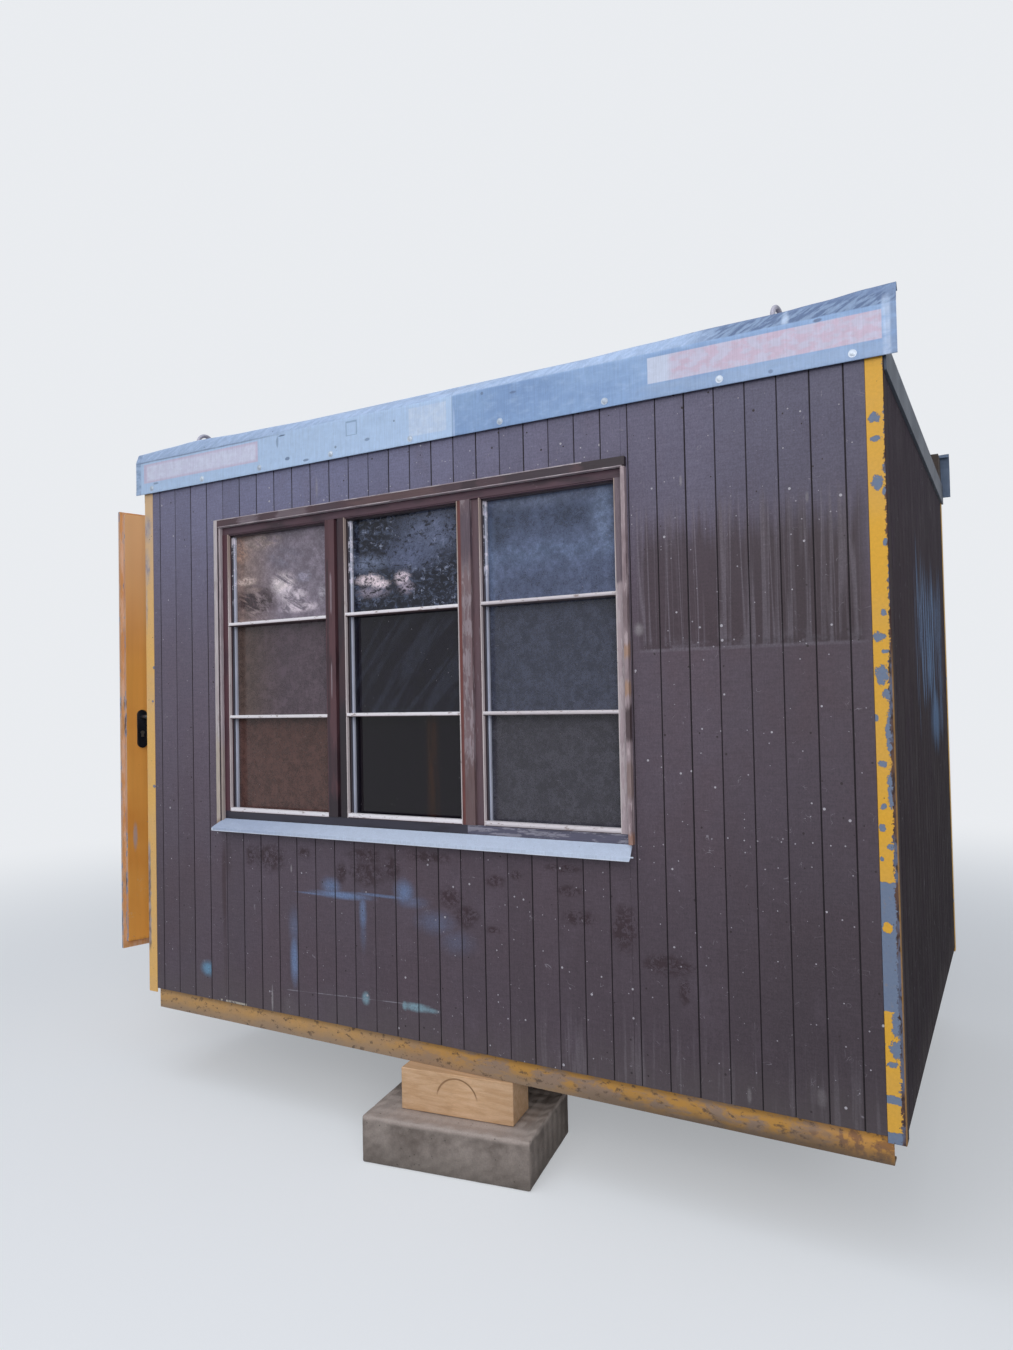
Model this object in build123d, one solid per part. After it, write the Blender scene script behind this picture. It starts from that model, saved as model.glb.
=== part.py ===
"""Portable site cabin on three block supports, with one door and a three-light window.

Millimetres, +Z up. The origin lies on the level floor, under the middle of the cabin.
+X runs along the window side towards its right end and +Y runs towards the back.
"""
from build123d import *
import os
from math import cos, radians, sin

# Body over the corner posts
body_length = 3090.0
body_width = 2190.0
wall_height = 2194.5
wall_thickness = 60.0

# Supports
concrete_length = 634.0
concrete_depth = 440.0
concrete_height = 165.0
timber_length = 434.0
timber_depth = 150.0
timber_height = 147.5
front_timber_from_left = 1615.0
front_timber_from_front = 46.0
front_timber_turn = 7.5
front_concrete_from_left = 1593.0
front_concrete_from_front = 99.0
front_concrete_turn = 8.7
back_support_from_end = 450.0
back_timber_from_back = 46.0
back_concrete_from_back = 99.0

# Base frame of steel channel
channel_height = 80.0
channel_flange = 45.0
channel_web = 6.0
channel_lip = 8.0
base_left_gap = 64.0
base_right_gap = 34.0
cross_beam_count = 5

# Floor
joist_height = 107.5
joist_width = 60.0
joist_count = 6
floor_deck_thickness = 25.0

# Corner posts of steel angle
post_flange = 50.0
post_thickness = 5.0
post_overhang = 17.5
door_post_return = 19.0

# Roof
ceiling_thickness = 37.0
roof_deck_thickness = 43.0
roof_beam_height = 184.0
roof_beam_depth = 140.0
roof_beam_proud = 12.0
roof_overhang = 40.0
slope_height = 44.0
slope_depth = 18.0
sheet = 1.5
fascia_drip = 6.0
fascia_return = 24.0
trim_below = 42.0
trim_above = 48.0
trim_proud = 8.0
trim_end_gap = 6.0

# Lifting eyes
eye_from_end = 306.0
eye_from_front = 77.0
eye_bend_radius = 37.0
eye_rod = 16.0
eye_leg = 4.0
eye_turn = 8.0
eye_plate_length = 90.0
eye_plate_width = 60.0
eye_plate_thickness = 6.0

# Window: a frame with two mullions, three sashes and three panes
window_from_left = 475.0
window_width = 1815.0
window_above_base = 757.5
window_height = 1230.0
window_setback = 3.0
frame_depth = 60.0
frame_stile = 26.0
frame_bottom_rail = 40.0
frame_top_rail = 29.0
mullion_width = 88.0
first_mullion_at = 610.0
second_mullion_at = 1223.0
sash_recess = 24.0
sash_depth = 36.0
sash_stile = 7.0
glass_recess = 25.0
glass_thickness = 4.0
glass_cover = 3.0
fit = 0.5

# Casing round the window and the sill under it
casing_left = 26.0
casing_right = 18.0
casing_top = 38.0
casing_proud = 18.0
sill_left_reach = 23.0
sill_right_reach = 8.0
sill_back_height = 11.0
sill_projection = 53.0
sill_drop = 39.0
sill_lip = 10.0
sill_upstand = 4.0
sill_sheet = 2.0

# Door: a rebated leaf that opens outward from the left end wall
door_from_front = 12.0
door_width = 800.0
door_above_floor = 2.0
door_height = 2011.0
door_lip = 14.0
door_lip_top = 12.0
door_lip_bottom = 32.0
door_lip_thickness = 15.0
door_core_thickness = 24.0
door_sheet = 2.0
lock_case_width = 100.0
lock_case_margin = 20.0
door_gap = 5.0
jamb_clearance = 7.0
jamb_width = 35.0
stop_cover = 23.0
threshold_step = 7.0
open_angle = 15.0

# Hinges
hinge_out = 28.0
hinge_side = 9.0
hinge_radius = 8.0
hinge_pin_radius = 4.0
hinge_knuckle = 45.0
hinge_gap = 2.0
hinge_leaf_thickness = 4.0
hinge_leaf_width = 42.0
lower_hinge_at = 260.0
upper_hinge_at = 1730.0
pin_clearance = 0.1

# Lock furniture
lock_backset = 70.0
lever_height = 1058.0
lock_spacing = 72.0
plate_width = 46.0
plate_height = 176.0
plate_thickness = 9.0
plate_above_lever = 33.0
lever_length = 118.0
lever_radius = 9.0
lever_bend = 20.0
lever_reach = 46.0
spindle_radius = 6.0
turning_clearance = 0.4
cylinder_radius = 8.5
cylinder_proud = 4.0
cylinder_tongue_width = 10.0
cylinder_tongue_drop = 20.0

# Planes that several pieces share
left = -body_length / 2
right = body_length / 2
front = -body_width / 2
back = body_width / 2
base_bottom = concrete_height + timber_height
wall_base = base_bottom + channel_height
wall_top = wall_base + wall_height
skin = post_thickness
inner = skin + wall_thickness
floor_top = wall_base + joist_height + floor_deck_thickness


def block(x0, x1, y0, y1, z0, z1):
    """Return the box between two opposite corners."""
    centre = Pos((x0 + x1) / 2, (y0 + y1) / 2, (z0 + z1) / 2)
    return centre * Box(x1 - x0, y1 - y0, z1 - z0)


def prism(points, direction, amount):
    """Return a closed outline of 3-D points extruded by a distance."""
    face = make_face(Polyline(*points, close=True))
    return extrude(face, amount=amount, dir=direction)


def rod(start, end, radius):
    """Return a round bar between two points."""
    run = Vector(*end) - Vector(*start)
    plane = Plane(origin=start, z_dir=run)
    return extrude(plane * Circle(radius), amount=run.length)


def save(name, shape):
    """Write one node."""
    solids = shape if isinstance(shape, list) else [shape]
    loose = [piece for item in solids for piece in item.solids()]
    item = loose[0] if len(loose) == 1 else Compound(children=loose)
    export_step(item, "parts/" + name + ".step")


def swing(shape):
    """Turn a piece of the closed door about the hinge axis into the open rest pose."""
    pivot = Axis((hinge_x, hinge_y, 0), (0, 0, 1))
    return shape.rotate(pivot, -open_angle)


os.makedirs("parts", exist_ok=True)

# Supports
def concrete_block(x, y, turn):
    """Return one concrete block on the floor."""
    return Pos(x, y, concrete_height / 2) * Rot(0, 0, turn) * Box(concrete_length, concrete_depth, concrete_height)


def timber_block(x, y, turn):
    """Return one timber block between the concrete and the base frame."""
    place = Pos(x, y, concrete_height + timber_height / 2) * Rot(0, 0, turn)
    return place * Box(timber_length, timber_depth, timber_height)


back_supports = (left + back_support_from_end, right - back_support_from_end)
concrete_blocks = [
    concrete_block(left + front_concrete_from_left, front + front_concrete_from_front, front_concrete_turn)
]
concrete_blocks += [concrete_block(x, back - back_concrete_from_back, 0) for x in back_supports]
save("concrete_blocks", concrete_blocks)
timber_blocks = [timber_block(left + front_timber_from_left, front + front_timber_from_front, front_timber_turn)]
timber_blocks += [timber_block(x, back - back_timber_from_back, 0) for x in back_supports]
save("timber_blocks", timber_blocks)

# Base frame
def channel_along_x(x0, x1, y_web, side):
    """Return a channel along X with its web at y_web and its flanges towards side."""
    z0 = base_bottom
    z1 = base_bottom + channel_height
    web = y_web + side * channel_web
    edge = y_web + side * channel_flange
    points = [
        (x0, y_web, z0), (x0, edge, z0), (x0, edge, z0 + channel_lip), (x0, web, z0 + channel_lip),
        (x0, web, z1 - channel_lip), (x0, edge, z1 - channel_lip), (x0, edge, z1), (x0, y_web, z1),
    ]
    return prism(points, (1, 0, 0), x1 - x0)


def channel_along_y(x_web, side, y0, y1):
    """Return a channel along Y with its web at x_web and its flanges towards side."""
    z0 = base_bottom
    z1 = base_bottom + channel_height
    web = x_web + side * channel_web
    edge = x_web + side * channel_flange
    points = [
        (x_web, y0, z0), (edge, y0, z0), (edge, y0, z0 + channel_lip), (web, y0, z0 + channel_lip),
        (web, y0, z1 - channel_lip), (edge, y0, z1 - channel_lip), (edge, y0, z1), (x_web, y0, z1),
    ]
    return prism(points, (0, 1, 0), y1 - y0)


base_left = left + base_left_gap
base_right = right - base_right_gap
save("base_beam_front", channel_along_x(base_left, base_right, front + skin, 1))
save("base_beam_back", channel_along_x(base_left, base_right, back - skin, -1))

cross_y0 = front + skin + channel_flange
cross_y1 = back - skin - channel_flange
cross_pitch = (base_right - base_left - 2 * channel_flange) / (cross_beam_count - 1)
cross_beams = []
for index in range(cross_beam_count):
    x_web = base_left + channel_flange / 2 + index * cross_pitch
    cross_beams.append(channel_along_y(x_web, 1, cross_y0, cross_y1))
save("base_cross_beams", cross_beams)

# Floor
joist_y0 = front + inner
joist_y1 = back - inner
joist_first = left + inner
joist_last = right - inner - joist_width
joist_pitch = (joist_last - joist_first) / (joist_count - 1)
joists = []
for index in range(joist_count):
    x0 = joist_first + index * joist_pitch
    joists.append(block(x0, x0 + joist_width, joist_y0, joist_y1, wall_base, wall_base + joist_height))
save("floor_joists", joists)
save(
    "floor_deck",
    block(left + inner, right - inner, joist_y0, joist_y1, wall_base + joist_height, floor_top),
)

# Corner posts
post_z0 = wall_base - post_overhang


def post(x, y, side_x, side_y, return_length):
    """Return an angle post whose outer corner is at x, y."""
    points = [
        (x, y, post_z0),
        (x + side_x * post_flange, y, post_z0),
        (x + side_x * post_flange, y + side_y * post_thickness, post_z0),
        (x + side_x * post_thickness, y + side_y * post_thickness, post_z0),
        (x + side_x * post_thickness, y + side_y * return_length, post_z0),
        (x, y + side_y * return_length, post_z0),
    ]
    return prism(points, (0, 0, 1), wall_top - post_z0)


save("post_front_left", post(left, front, 1, 1, door_post_return))
save("post_front_right", post(right, front, -1, 1, post_flange))
save("post_back_left", post(left, back, 1, -1, post_flange))
save("post_back_right", post(right, back, -1, -1, post_flange))

# Door set: planes of the closed leaf
leaf_y0 = front + door_from_front
leaf_y1 = leaf_y0 + door_width
leaf_z0 = floor_top + door_above_floor
leaf_z1 = leaf_z0 + door_height
lip_face = left - door_gap
lip_outer = lip_face - door_lip_thickness
core_inner = lip_face + door_core_thickness
core_y0 = leaf_y0 + door_lip
core_y1 = leaf_y1 - door_lip
core_z0 = leaf_z0 + door_lip_bottom
core_z1 = leaf_z1 - door_lip_top
stop_x = core_inner + jamb_clearance
hinge_x = left - hinge_out
hinge_y = leaf_y1 + hinge_side
door_side_end = core_y1 + jamb_clearance + jamb_width
front_wall_left = stop_x + post_thickness

# Door frame: rebated jambs and head, and a flat threshold
jamb_front = prism(
    [
        (left + skin, front + skin, wall_base),
        (front_wall_left, front + skin, wall_base),
        (front_wall_left, front + inner, wall_base),
        (stop_x, front + inner, wall_base),
        (stop_x, core_y0 - jamb_clearance, wall_base),
        (left + skin, core_y0 - jamb_clearance, wall_base),
    ],
    (0, 0, 1),
    wall_height - ceiling_thickness,
)
save("door_jamb_front", jamb_front)

rear_face = core_y1 + jamb_clearance
jamb_rear = prism(
    [
        (left + skin, rear_face, wall_base),
        (stop_x, rear_face, wall_base),
        (stop_x, rear_face - jamb_clearance - stop_cover, wall_base),
        (left + inner, rear_face - jamb_clearance - stop_cover, wall_base),
        (left + inner, door_side_end, wall_base),
        (left + skin, door_side_end, wall_base),
    ],
    (0, 0, 1),
    wall_height - ceiling_thickness,
)
jamb_rear += block(left, left + skin, rear_face, door_side_end, wall_base, wall_top - trim_below)
save("door_jamb_rear", jamb_rear)

head_z1 = wall_top - ceiling_thickness
head_y0 = front + inner
head_y1 = rear_face - jamb_clearance - stop_cover
head_bar = block(stop_x, left + inner, head_y0, head_y1, core_z1 - stop_cover, head_z1)
head_face = block(left + skin, stop_x, core_y0 - jamb_clearance, rear_face, core_z1 + jamb_clearance, head_z1)
save("door_head", head_bar + head_face)

threshold_top = core_z0 - threshold_step
threshold = block(stop_x, left + inner, head_y0, head_y1, wall_base, threshold_top)
threshold += block(left + skin, stop_x, core_y0 - jamb_clearance, rear_face, wall_base, threshold_top)
save("door_threshold", threshold)

# Walls
opening_x0 = left + window_from_left - fit
opening_x1 = left + window_from_left + window_width + fit
opening_z0 = wall_base + window_above_base - fit
opening_z1 = wall_base + window_above_base + window_height + fit
front_y0 = front + skin
front_y1 = front + inner
save("front_wall_left", block(front_wall_left, opening_x0, front_y0, front_y1, wall_base, wall_top))
save("front_wall_right", block(opening_x1, right - skin, front_y0, front_y1, wall_base, wall_top))
save("front_wall_below", block(opening_x0, opening_x1, front_y0, front_y1, wall_base, opening_z0))
save("front_wall_above", block(opening_x0, opening_x1, front_y0, front_y1, opening_z1, wall_top))
save("back_wall", block(left + skin, right - skin, back - inner, back - skin, wall_base, wall_top))
save("right_wall", block(right - inner, right - skin, front + inner, back - inner, wall_base, wall_top))
save("left_wall", block(left + skin, left + inner, door_side_end, back - inner, wall_base, wall_top))
over_door = block(left + skin, left + inner, front + inner, door_side_end, head_z1, wall_top)
over_door += block(left + skin, front_wall_left, front + skin, front + inner, head_z1, wall_top)
save("left_wall_over_door", over_door)

# Roof
beam_y_out = front - roof_beam_proud
beam_y_in = beam_y_out + roof_beam_depth
beam_z1 = wall_top + roof_beam_height
roof_x0 = left - roof_overhang
roof_x1 = right + roof_overhang
save(
    "ceiling",
    block(left + inner, right - inner, front + inner, back - inner, wall_top - ceiling_thickness, wall_top),
)
save(
    "roof_deck",
    block(left + skin, right - skin, beam_y_in, -beam_y_in, wall_top, wall_top + roof_deck_thickness),
)


def roof_beam(side):
    """Return a roof edge beam with its sloped outer shoulder; side is -1 in front and 1 behind."""
    points = [
        (left, -side * beam_y_out, wall_top),
        (left, -side * beam_y_in, wall_top),
        (left, -side * beam_y_in, beam_z1),
        (left, -side * (beam_y_out + slope_depth), beam_z1),
        (left, -side * beam_y_out, beam_z1 - slope_height),
    ]
    return prism(points, (1, 0, 0), body_length)


def fascia(side):
    """Return the folded sheet over one roof beam: drip, face, sloped shoulder and top return."""
    y0 = beam_y_out
    z_fold = beam_z1 - slope_height
    slope = (slope_depth ** 2 + slope_height ** 2) ** 0.5
    lean = sheet * (slope - slope_height) / slope_depth
    rise = sheet * (slope - slope_depth) / slope_height
    profile = [
        (y0, wall_top - fascia_drip),
        (y0, z_fold),
        (y0 + slope_depth, beam_z1),
        (y0 + slope_depth + fascia_return, beam_z1),
        (y0 + slope_depth + fascia_return, beam_z1 + sheet),
        (y0 + slope_depth - rise, beam_z1 + sheet),
        (y0 - sheet, z_fold + lean),
        (y0 - sheet, wall_top - fascia_drip),
    ]
    points = [(roof_x0, -side * y, z) for y, z in profile]
    return prism(points, (1, 0, 0), roof_x1 - roof_x0)


save("roof_beam_front", roof_beam(-1))
save("roof_beam_back", roof_beam(1))
save("fascia_front", fascia(-1))
save("fascia_back", fascia(1))

trim_y = front + trim_end_gap


def side_trim(side):
    """Return the edge trim over one end wall, with the packing strip behind it between the posts."""
    face = side * body_length / 2
    x0, x1 = sorted((face, face + side * trim_proud))
    trim = block(x0, x1, trim_y, -trim_y, wall_top - trim_below, wall_top + trim_above)
    x0, x1 = sorted((face - side * skin, face))
    trim += block(x0, x1, front + post_flange, back - post_flange, wall_top - trim_below, wall_top)
    trim += block(x0, x1, beam_y_in, -beam_y_in, wall_top, wall_top + trim_above)
    return trim


save("side_trims", [side_trim(-1), side_trim(1)])

# Lifting eyes: a bent bar on a plate
def lifting_eye(x, y):
    """Return one eye whose loop stands across the roof beam, turned a little on its plate."""
    z0 = beam_z1 + eye_plate_thickness
    bend_z = z0 + eye_leg
    path = Polyline((x, y - eye_bend_radius, z0), (x, y - eye_bend_radius, bend_z))
    arc = ThreePointArc(
        (x, y - eye_bend_radius, bend_z), (x, y, bend_z + eye_bend_radius), (x, y + eye_bend_radius, bend_z)
    )
    leg = Line((x, y + eye_bend_radius, bend_z), (x, y + eye_bend_radius, z0))
    wire = Wire(path.edges() + arc.edges() + leg.edges())
    section = Plane(origin=(x, y - eye_bend_radius, z0), z_dir=(0, 0, 1)) * Circle(eye_rod / 2)
    loop = sweep(section, path=wire).rotate(Axis((x, y, z0), (0, 0, 1)), -eye_turn)
    plate = block(
        x - eye_plate_width / 2, x + eye_plate_width / 2,
        y - eye_plate_length / 2, y + eye_plate_length / 2, beam_z1, z0,
    )
    return plate + loop


eyes = []
for x in (left + eye_from_end, right - eye_from_end):
    for y in (front + eye_from_front, back - eye_from_front):
        eyes.append(lifting_eye(x, y))
save("lifting_eyes", eyes)

# Window frame
frame_x0 = left + window_from_left
frame_x1 = frame_x0 + window_width
frame_z0 = wall_base + window_above_base
frame_z1 = frame_z0 + window_height
frame_y0 = front + window_setback
frame_y1 = frame_y0 + frame_depth
light_z0 = frame_z0 + frame_bottom_rail
light_z1 = frame_z1 - frame_top_rail
lights = [
    (frame_x0 + frame_stile, frame_x0 + first_mullion_at - mullion_width / 2),
    (frame_x0 + first_mullion_at + mullion_width / 2, frame_x0 + second_mullion_at - mullion_width / 2),
    (frame_x0 + second_mullion_at + mullion_width / 2, frame_x1 - frame_stile),
]
window_frame = block(frame_x0, frame_x1, frame_y0, frame_y1, frame_z0, frame_z1)
for x0, x1 in lights:
    window_frame -= block(x0, x1, frame_y0 - 1, frame_y1 + 1, light_z0, light_z1)
save("window_frame", window_frame)

# Sashes with a glazing rebate on the room side, and the panes in it
panes = []
for name, (x0, x1) in zip(("left", "middle", "right"), lights):
    sash_x0 = x0 + fit
    sash_x1 = x1 - fit
    sash_z0 = light_z0 + fit
    sash_z1 = light_z1 - fit
    sash_y0 = frame_y0 + sash_recess
    glass_y0 = sash_y0 + glass_recess
    sash = block(sash_x0, sash_x1, sash_y0, sash_y0 + sash_depth, sash_z0, sash_z1)
    sash -= block(
        sash_x0 + sash_stile, sash_x1 - sash_stile, sash_y0 - 1, sash_y0 + sash_depth + 1,
        sash_z0 + sash_stile, sash_z1 - sash_stile,
    )
    rebate = sash_stile - glass_cover
    sash -= block(
        sash_x0 + rebate, sash_x1 - rebate, glass_y0, sash_y0 + sash_depth + 1,
        sash_z0 + rebate, sash_z1 - rebate,
    )
    save("sash_" + name, sash)
    panes.append(block(
        sash_x0 + rebate + fit, sash_x1 - rebate - fit, glass_y0, glass_y0 + glass_thickness,
        sash_z0 + rebate + fit, sash_z1 - rebate - fit,
    ))
save("window_panes", panes)

# Sill: folded sheet with an upstand, a fall to the front and a down-turned lip
sill_z = frame_z0 + sill_back_height
sill_y_back = frame_y0
sill_y_front = sill_y_back - sill_projection
sill_fall = (sill_projection ** 2 + sill_drop ** 2) ** 0.5
sill_under = sill_sheet * sill_fall / sill_projection
sill_profile = [
    (sill_y_back, sill_z - sill_under),
    (sill_y_back, sill_z + sill_upstand),
    (sill_y_back - sill_sheet, sill_z + sill_upstand),
    (sill_y_back - sill_sheet, sill_z),
    (sill_y_front, sill_z - sill_drop),
    (sill_y_front, sill_z - sill_drop - sill_lip),
    (sill_y_front + sill_sheet, sill_z - sill_drop - sill_lip),
    (sill_y_front + sill_sheet, sill_z - sill_drop - sill_under),
]
sill_x0 = frame_x0 - sill_left_reach
sill_x1 = frame_x1 + sill_right_reach
save("window_sill", prism([(sill_x0, y, z) for y, z in sill_profile], (1, 0, 0), sill_x1 - sill_x0))

# Casing: two uprights and a head in front of the wall, cut to the fall of the sill
casing_y0 = front - casing_proud
casing_y1 = front + skin
casing = block(
    frame_x0 - casing_left, frame_x1 + casing_right, casing_y0, casing_y1, sill_z - sill_drop, frame_z1 + casing_top
)
casing -= block(frame_x0, frame_x1, casing_y0 - 1, casing_y1 + 1, sill_z - sill_drop - 1, frame_z1)
fall_cut = [
    (sill_y_back - sill_sheet, sill_z + sill_upstand + fit),
    (sill_y_back - sill_sheet - fit, sill_z + fit),
    (sill_y_front - 1, sill_z - sill_drop + fit),
    (sill_y_front - 1, sill_z - sill_drop - sill_lip - 1),
    (casing_y1 + 1, sill_z - sill_drop - sill_lip - 1),
    (casing_y1 + 1, sill_z + sill_upstand + fit),
]
cut_x0 = frame_x0 - casing_left - 1
casing -= prism([(cut_x0, y, z) for y, z in fall_cut], (1, 0, 0), window_width + casing_left + casing_right + 2)
save("window_casing", casing)

# Door leaf: hollow core and wider outer lip, bored through the lock case for the spindle and the key cylinder
lever_y = core_y0 + lock_backset
lever_z = leaf_z0 + lever_height
key_z = lever_z - lock_spacing
plate_z1 = lever_z + plate_above_lever
plate_z0 = plate_z1 - plate_height


def key_profile(x0, x1, clearance):
    """Return the round-and-tongue bar of the key cylinder."""
    radius = cylinder_radius + clearance
    half = cylinder_tongue_width / 2 + clearance
    round_part = rod((x0, lever_y, key_z), (x1, lever_y, key_z), radius)
    tongue = block(x0, x1, lever_y - half, lever_y + half, key_z - cylinder_tongue_drop - clearance, key_z)
    return round_part + tongue


def handle_plate(x0, x1):
    """Return one backplate with round ends, bored for the lever neck and the key cylinder."""
    half = plate_width / 2
    plate = block(x0, x1, lever_y - half, lever_y + half, plate_z0 + half, plate_z1 - half)
    plate += rod((x0, lever_y, plate_z0 + half), (x1, lever_y, plate_z0 + half), half)
    plate += rod((x0, lever_y, plate_z1 - half), (x1, lever_y, plate_z1 - half), half)
    plate -= rod((x0 - 1, lever_y, lever_z), (x1 + 1, lever_y, lever_z), lever_radius + turning_clearance)
    plate -= key_profile(x0 - 1, x1 + 1, fit)
    return plate


leaf = block(lip_face, core_inner, core_y0, core_y1, core_z0, core_z1)
leaf += block(lip_outer, lip_face, leaf_y0, leaf_y1, leaf_z0, leaf_z1)
hollow = block(
    lip_face, core_inner - door_sheet, core_y0 + door_sheet, core_y1 - door_sheet,
    core_z0 + door_sheet, core_z1 - door_sheet,
)
hollow += block(
    lip_outer + door_sheet, lip_face, core_y0 + door_sheet, core_y1 - door_sheet,
    core_z0 + door_sheet, core_z1 - door_sheet,
)
hollow -= block(
    lip_outer, core_inner, core_y0, core_y0 + lock_case_width, plate_z0 - lock_case_margin, plate_z1 + lock_case_margin
)
leaf -= hollow
leaf -= rod(
    (lip_outer - 1, lever_y, lever_z), (core_inner + 1, lever_y, lever_z), spindle_radius + turning_clearance
)
leaf -= key_profile(lip_outer - 1, core_inner + 1, fit)
save("door_leaf", swing(leaf))
inner_plate = handle_plate(core_inner, core_inner + plate_thickness)
outer_plate = handle_plate(lip_outer - plate_thickness, lip_outer)
save("handle_plates", [swing(inner_plate), swing(outer_plate)])
cylinder = key_profile(lip_outer - plate_thickness - cylinder_proud, core_inner + plate_thickness + cylinder_proud, 0)
save("key_cylinder", swing(cylinder))


def lever(x_face, side):
    """Return one lever from the leaf's face: neck, bend and grip pointing at the hinges."""
    x_end = x_face + side * lever_reach
    x_root = x_face + side * turning_clearance
    path = FilletPolyline(
        (x_root, lever_y, lever_z), (x_end, lever_y, lever_z), (x_end, lever_y + lever_length, lever_z),
        radius=lever_bend,
    )
    section = Plane(origin=(x_root, lever_y, lever_z), z_dir=(side, 0, 0)) * Circle(lever_radius)
    return sweep(section, path=path)


spindle = rod(
    (lip_outer - plate_thickness, lever_y, lever_z), (core_inner + plate_thickness, lever_y, lever_z), spindle_radius
)
levers = lever(core_inner, 1) + spindle + lever(lip_outer, -1)
save("lever_handles", swing(levers))

# Hinges: pins and lower knuckles on the frame, upper knuckles on the leaf
frame_hinges = []
leaf_hinges = []
for height in (lower_hinge_at, upper_hinge_at):
    z_mid = leaf_z0 + height
    lower = rod((hinge_x, hinge_y, z_mid - hinge_knuckle), (hinge_x, hinge_y, z_mid), hinge_radius)
    lower += rod(
        (hinge_x, hinge_y, z_mid - 1), (hinge_x, hinge_y, z_mid + hinge_gap + hinge_knuckle * 0.8), hinge_pin_radius
    )
    arm = block(
        hinge_x, left - hinge_leaf_thickness, hinge_y, hinge_y + hinge_leaf_thickness, z_mid - hinge_knuckle, z_mid
    )
    flag = block(
        left - hinge_leaf_thickness, left, hinge_y, door_side_end, z_mid - hinge_knuckle, z_mid
    )
    frame_hinges.append(lower + arm + flag)
    top0 = z_mid + hinge_gap
    top1 = top0 + hinge_knuckle
    upper = rod((hinge_x, hinge_y, top0), (hinge_x, hinge_y, top1), hinge_radius)
    wing = block(
        lip_outer - hinge_leaf_thickness, lip_outer, leaf_y1 - hinge_leaf_width, hinge_y, top0, top1
    )
    upper += wing
    upper -= rod(
        (hinge_x, hinge_y, top0 - 1), (hinge_x, hinge_y, top0 + hinge_knuckle * 0.85), hinge_pin_radius + pin_clearance
    )
    leaf_hinges.append(upper)
save("hinge_pins", frame_hinges)
save("hinge_knuckles", [swing(item) for item in leaf_hinges])

turn = radians(open_angle)
offset_x = core_inner - hinge_x
offset_y = lever_y - hinge_y
lever_at_x = hinge_x + offset_x * cos(turn) + offset_y * sin(turn)
lever_at_y = hinge_y - offset_x * sin(turn) + offset_y * cos(turn)
print("hinge axis", hinge_x, hinge_y)
print("lever axis through", round(lever_at_x, 3), round(lever_at_y, 3), lever_z)
print("lever axis direction", round(-cos(turn), 6), round(sin(turn), 6), 0)
print("overall height", beam_z1 + eye_plate_thickness + eye_leg + eye_bend_radius + eye_rod / 2)
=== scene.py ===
"""Dresses the portable site cabin: its boards, window, door, roof edge and supports, and their finishes.

Metres, +Z up, in the frame of the solids. Photo places are given from the datum: the outer bottom corner of
the front left post, with u along the window side, v upwards and d into the cabin.
"""

import logging
import math
from dataclasses import dataclass, replace
from enum import Enum

import bmesh
import bpy
from mathutils import Euler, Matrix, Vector, noise


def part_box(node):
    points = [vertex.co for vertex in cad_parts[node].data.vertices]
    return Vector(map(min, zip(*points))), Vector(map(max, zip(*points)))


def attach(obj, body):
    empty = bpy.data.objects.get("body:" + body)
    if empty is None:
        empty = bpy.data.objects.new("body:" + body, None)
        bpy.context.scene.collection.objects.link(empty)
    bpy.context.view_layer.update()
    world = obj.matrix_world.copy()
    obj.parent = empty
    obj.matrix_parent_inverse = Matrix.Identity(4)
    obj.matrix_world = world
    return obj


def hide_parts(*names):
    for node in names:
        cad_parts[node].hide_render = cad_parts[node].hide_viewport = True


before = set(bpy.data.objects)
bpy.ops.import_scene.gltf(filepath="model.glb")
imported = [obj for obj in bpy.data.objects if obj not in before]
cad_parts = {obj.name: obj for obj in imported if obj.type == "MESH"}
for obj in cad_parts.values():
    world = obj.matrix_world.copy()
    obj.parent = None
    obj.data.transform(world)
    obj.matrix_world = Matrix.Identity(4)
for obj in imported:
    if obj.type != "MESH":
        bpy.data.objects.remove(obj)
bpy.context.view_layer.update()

SMOOTH_ANGLE = math.radians(38)
FOLD_ANGLE = math.radians(50)
FLAT_ANGLE = math.radians(1)
WELD = 1e-5
log = logging.getLogger("cabin")

Triple = tuple[float, float, float]
Colour = Triple
Pair = tuple[float, float]
Socket = bpy.types.NodeSocket


class Slot(Enum):
    """The record's material slots, passed with each new piece."""

    YELLOW = "yellow_steel"
    CLADDING = "cladding"
    ZINC = "zinc"
    ROOF_TIMBER = "roof_timber"
    WINDOW = "window_timber"
    DOOR = "door_paint"
    PLASTIC = "black_plastic"
    STEEL = "steel"
    SAWN = "sawn_timber"
    CONCRETE = "concrete"
    TRIM = "trim"


class Along(Enum):
    """The direction that boards or grain follow."""

    X = 0
    Y = 1
    Z = 2

    def stretch(self, share: float) -> tuple[float, ...]:
        """Return a factor for each axis: share along this one and 1 across it."""
        return tuple(share if axis == self.value else 1.0 for axis in range(3))


def srgb(code: str) -> Colour:
    """Return a colour written as six hexadecimal digits as linear values.

    Args:
        code: the colour as seen, such as "5a4a4d".
    Returns:
        Three linear values from 0 to 1.
    """
    values = [int(code[i:i + 2], 16) / 255 for i in (0, 2, 4)]
    return tuple(v / 12.92 if v <= 0.04045 else ((v + 0.055) / 1.055) ** 2.4 for v in values)


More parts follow.
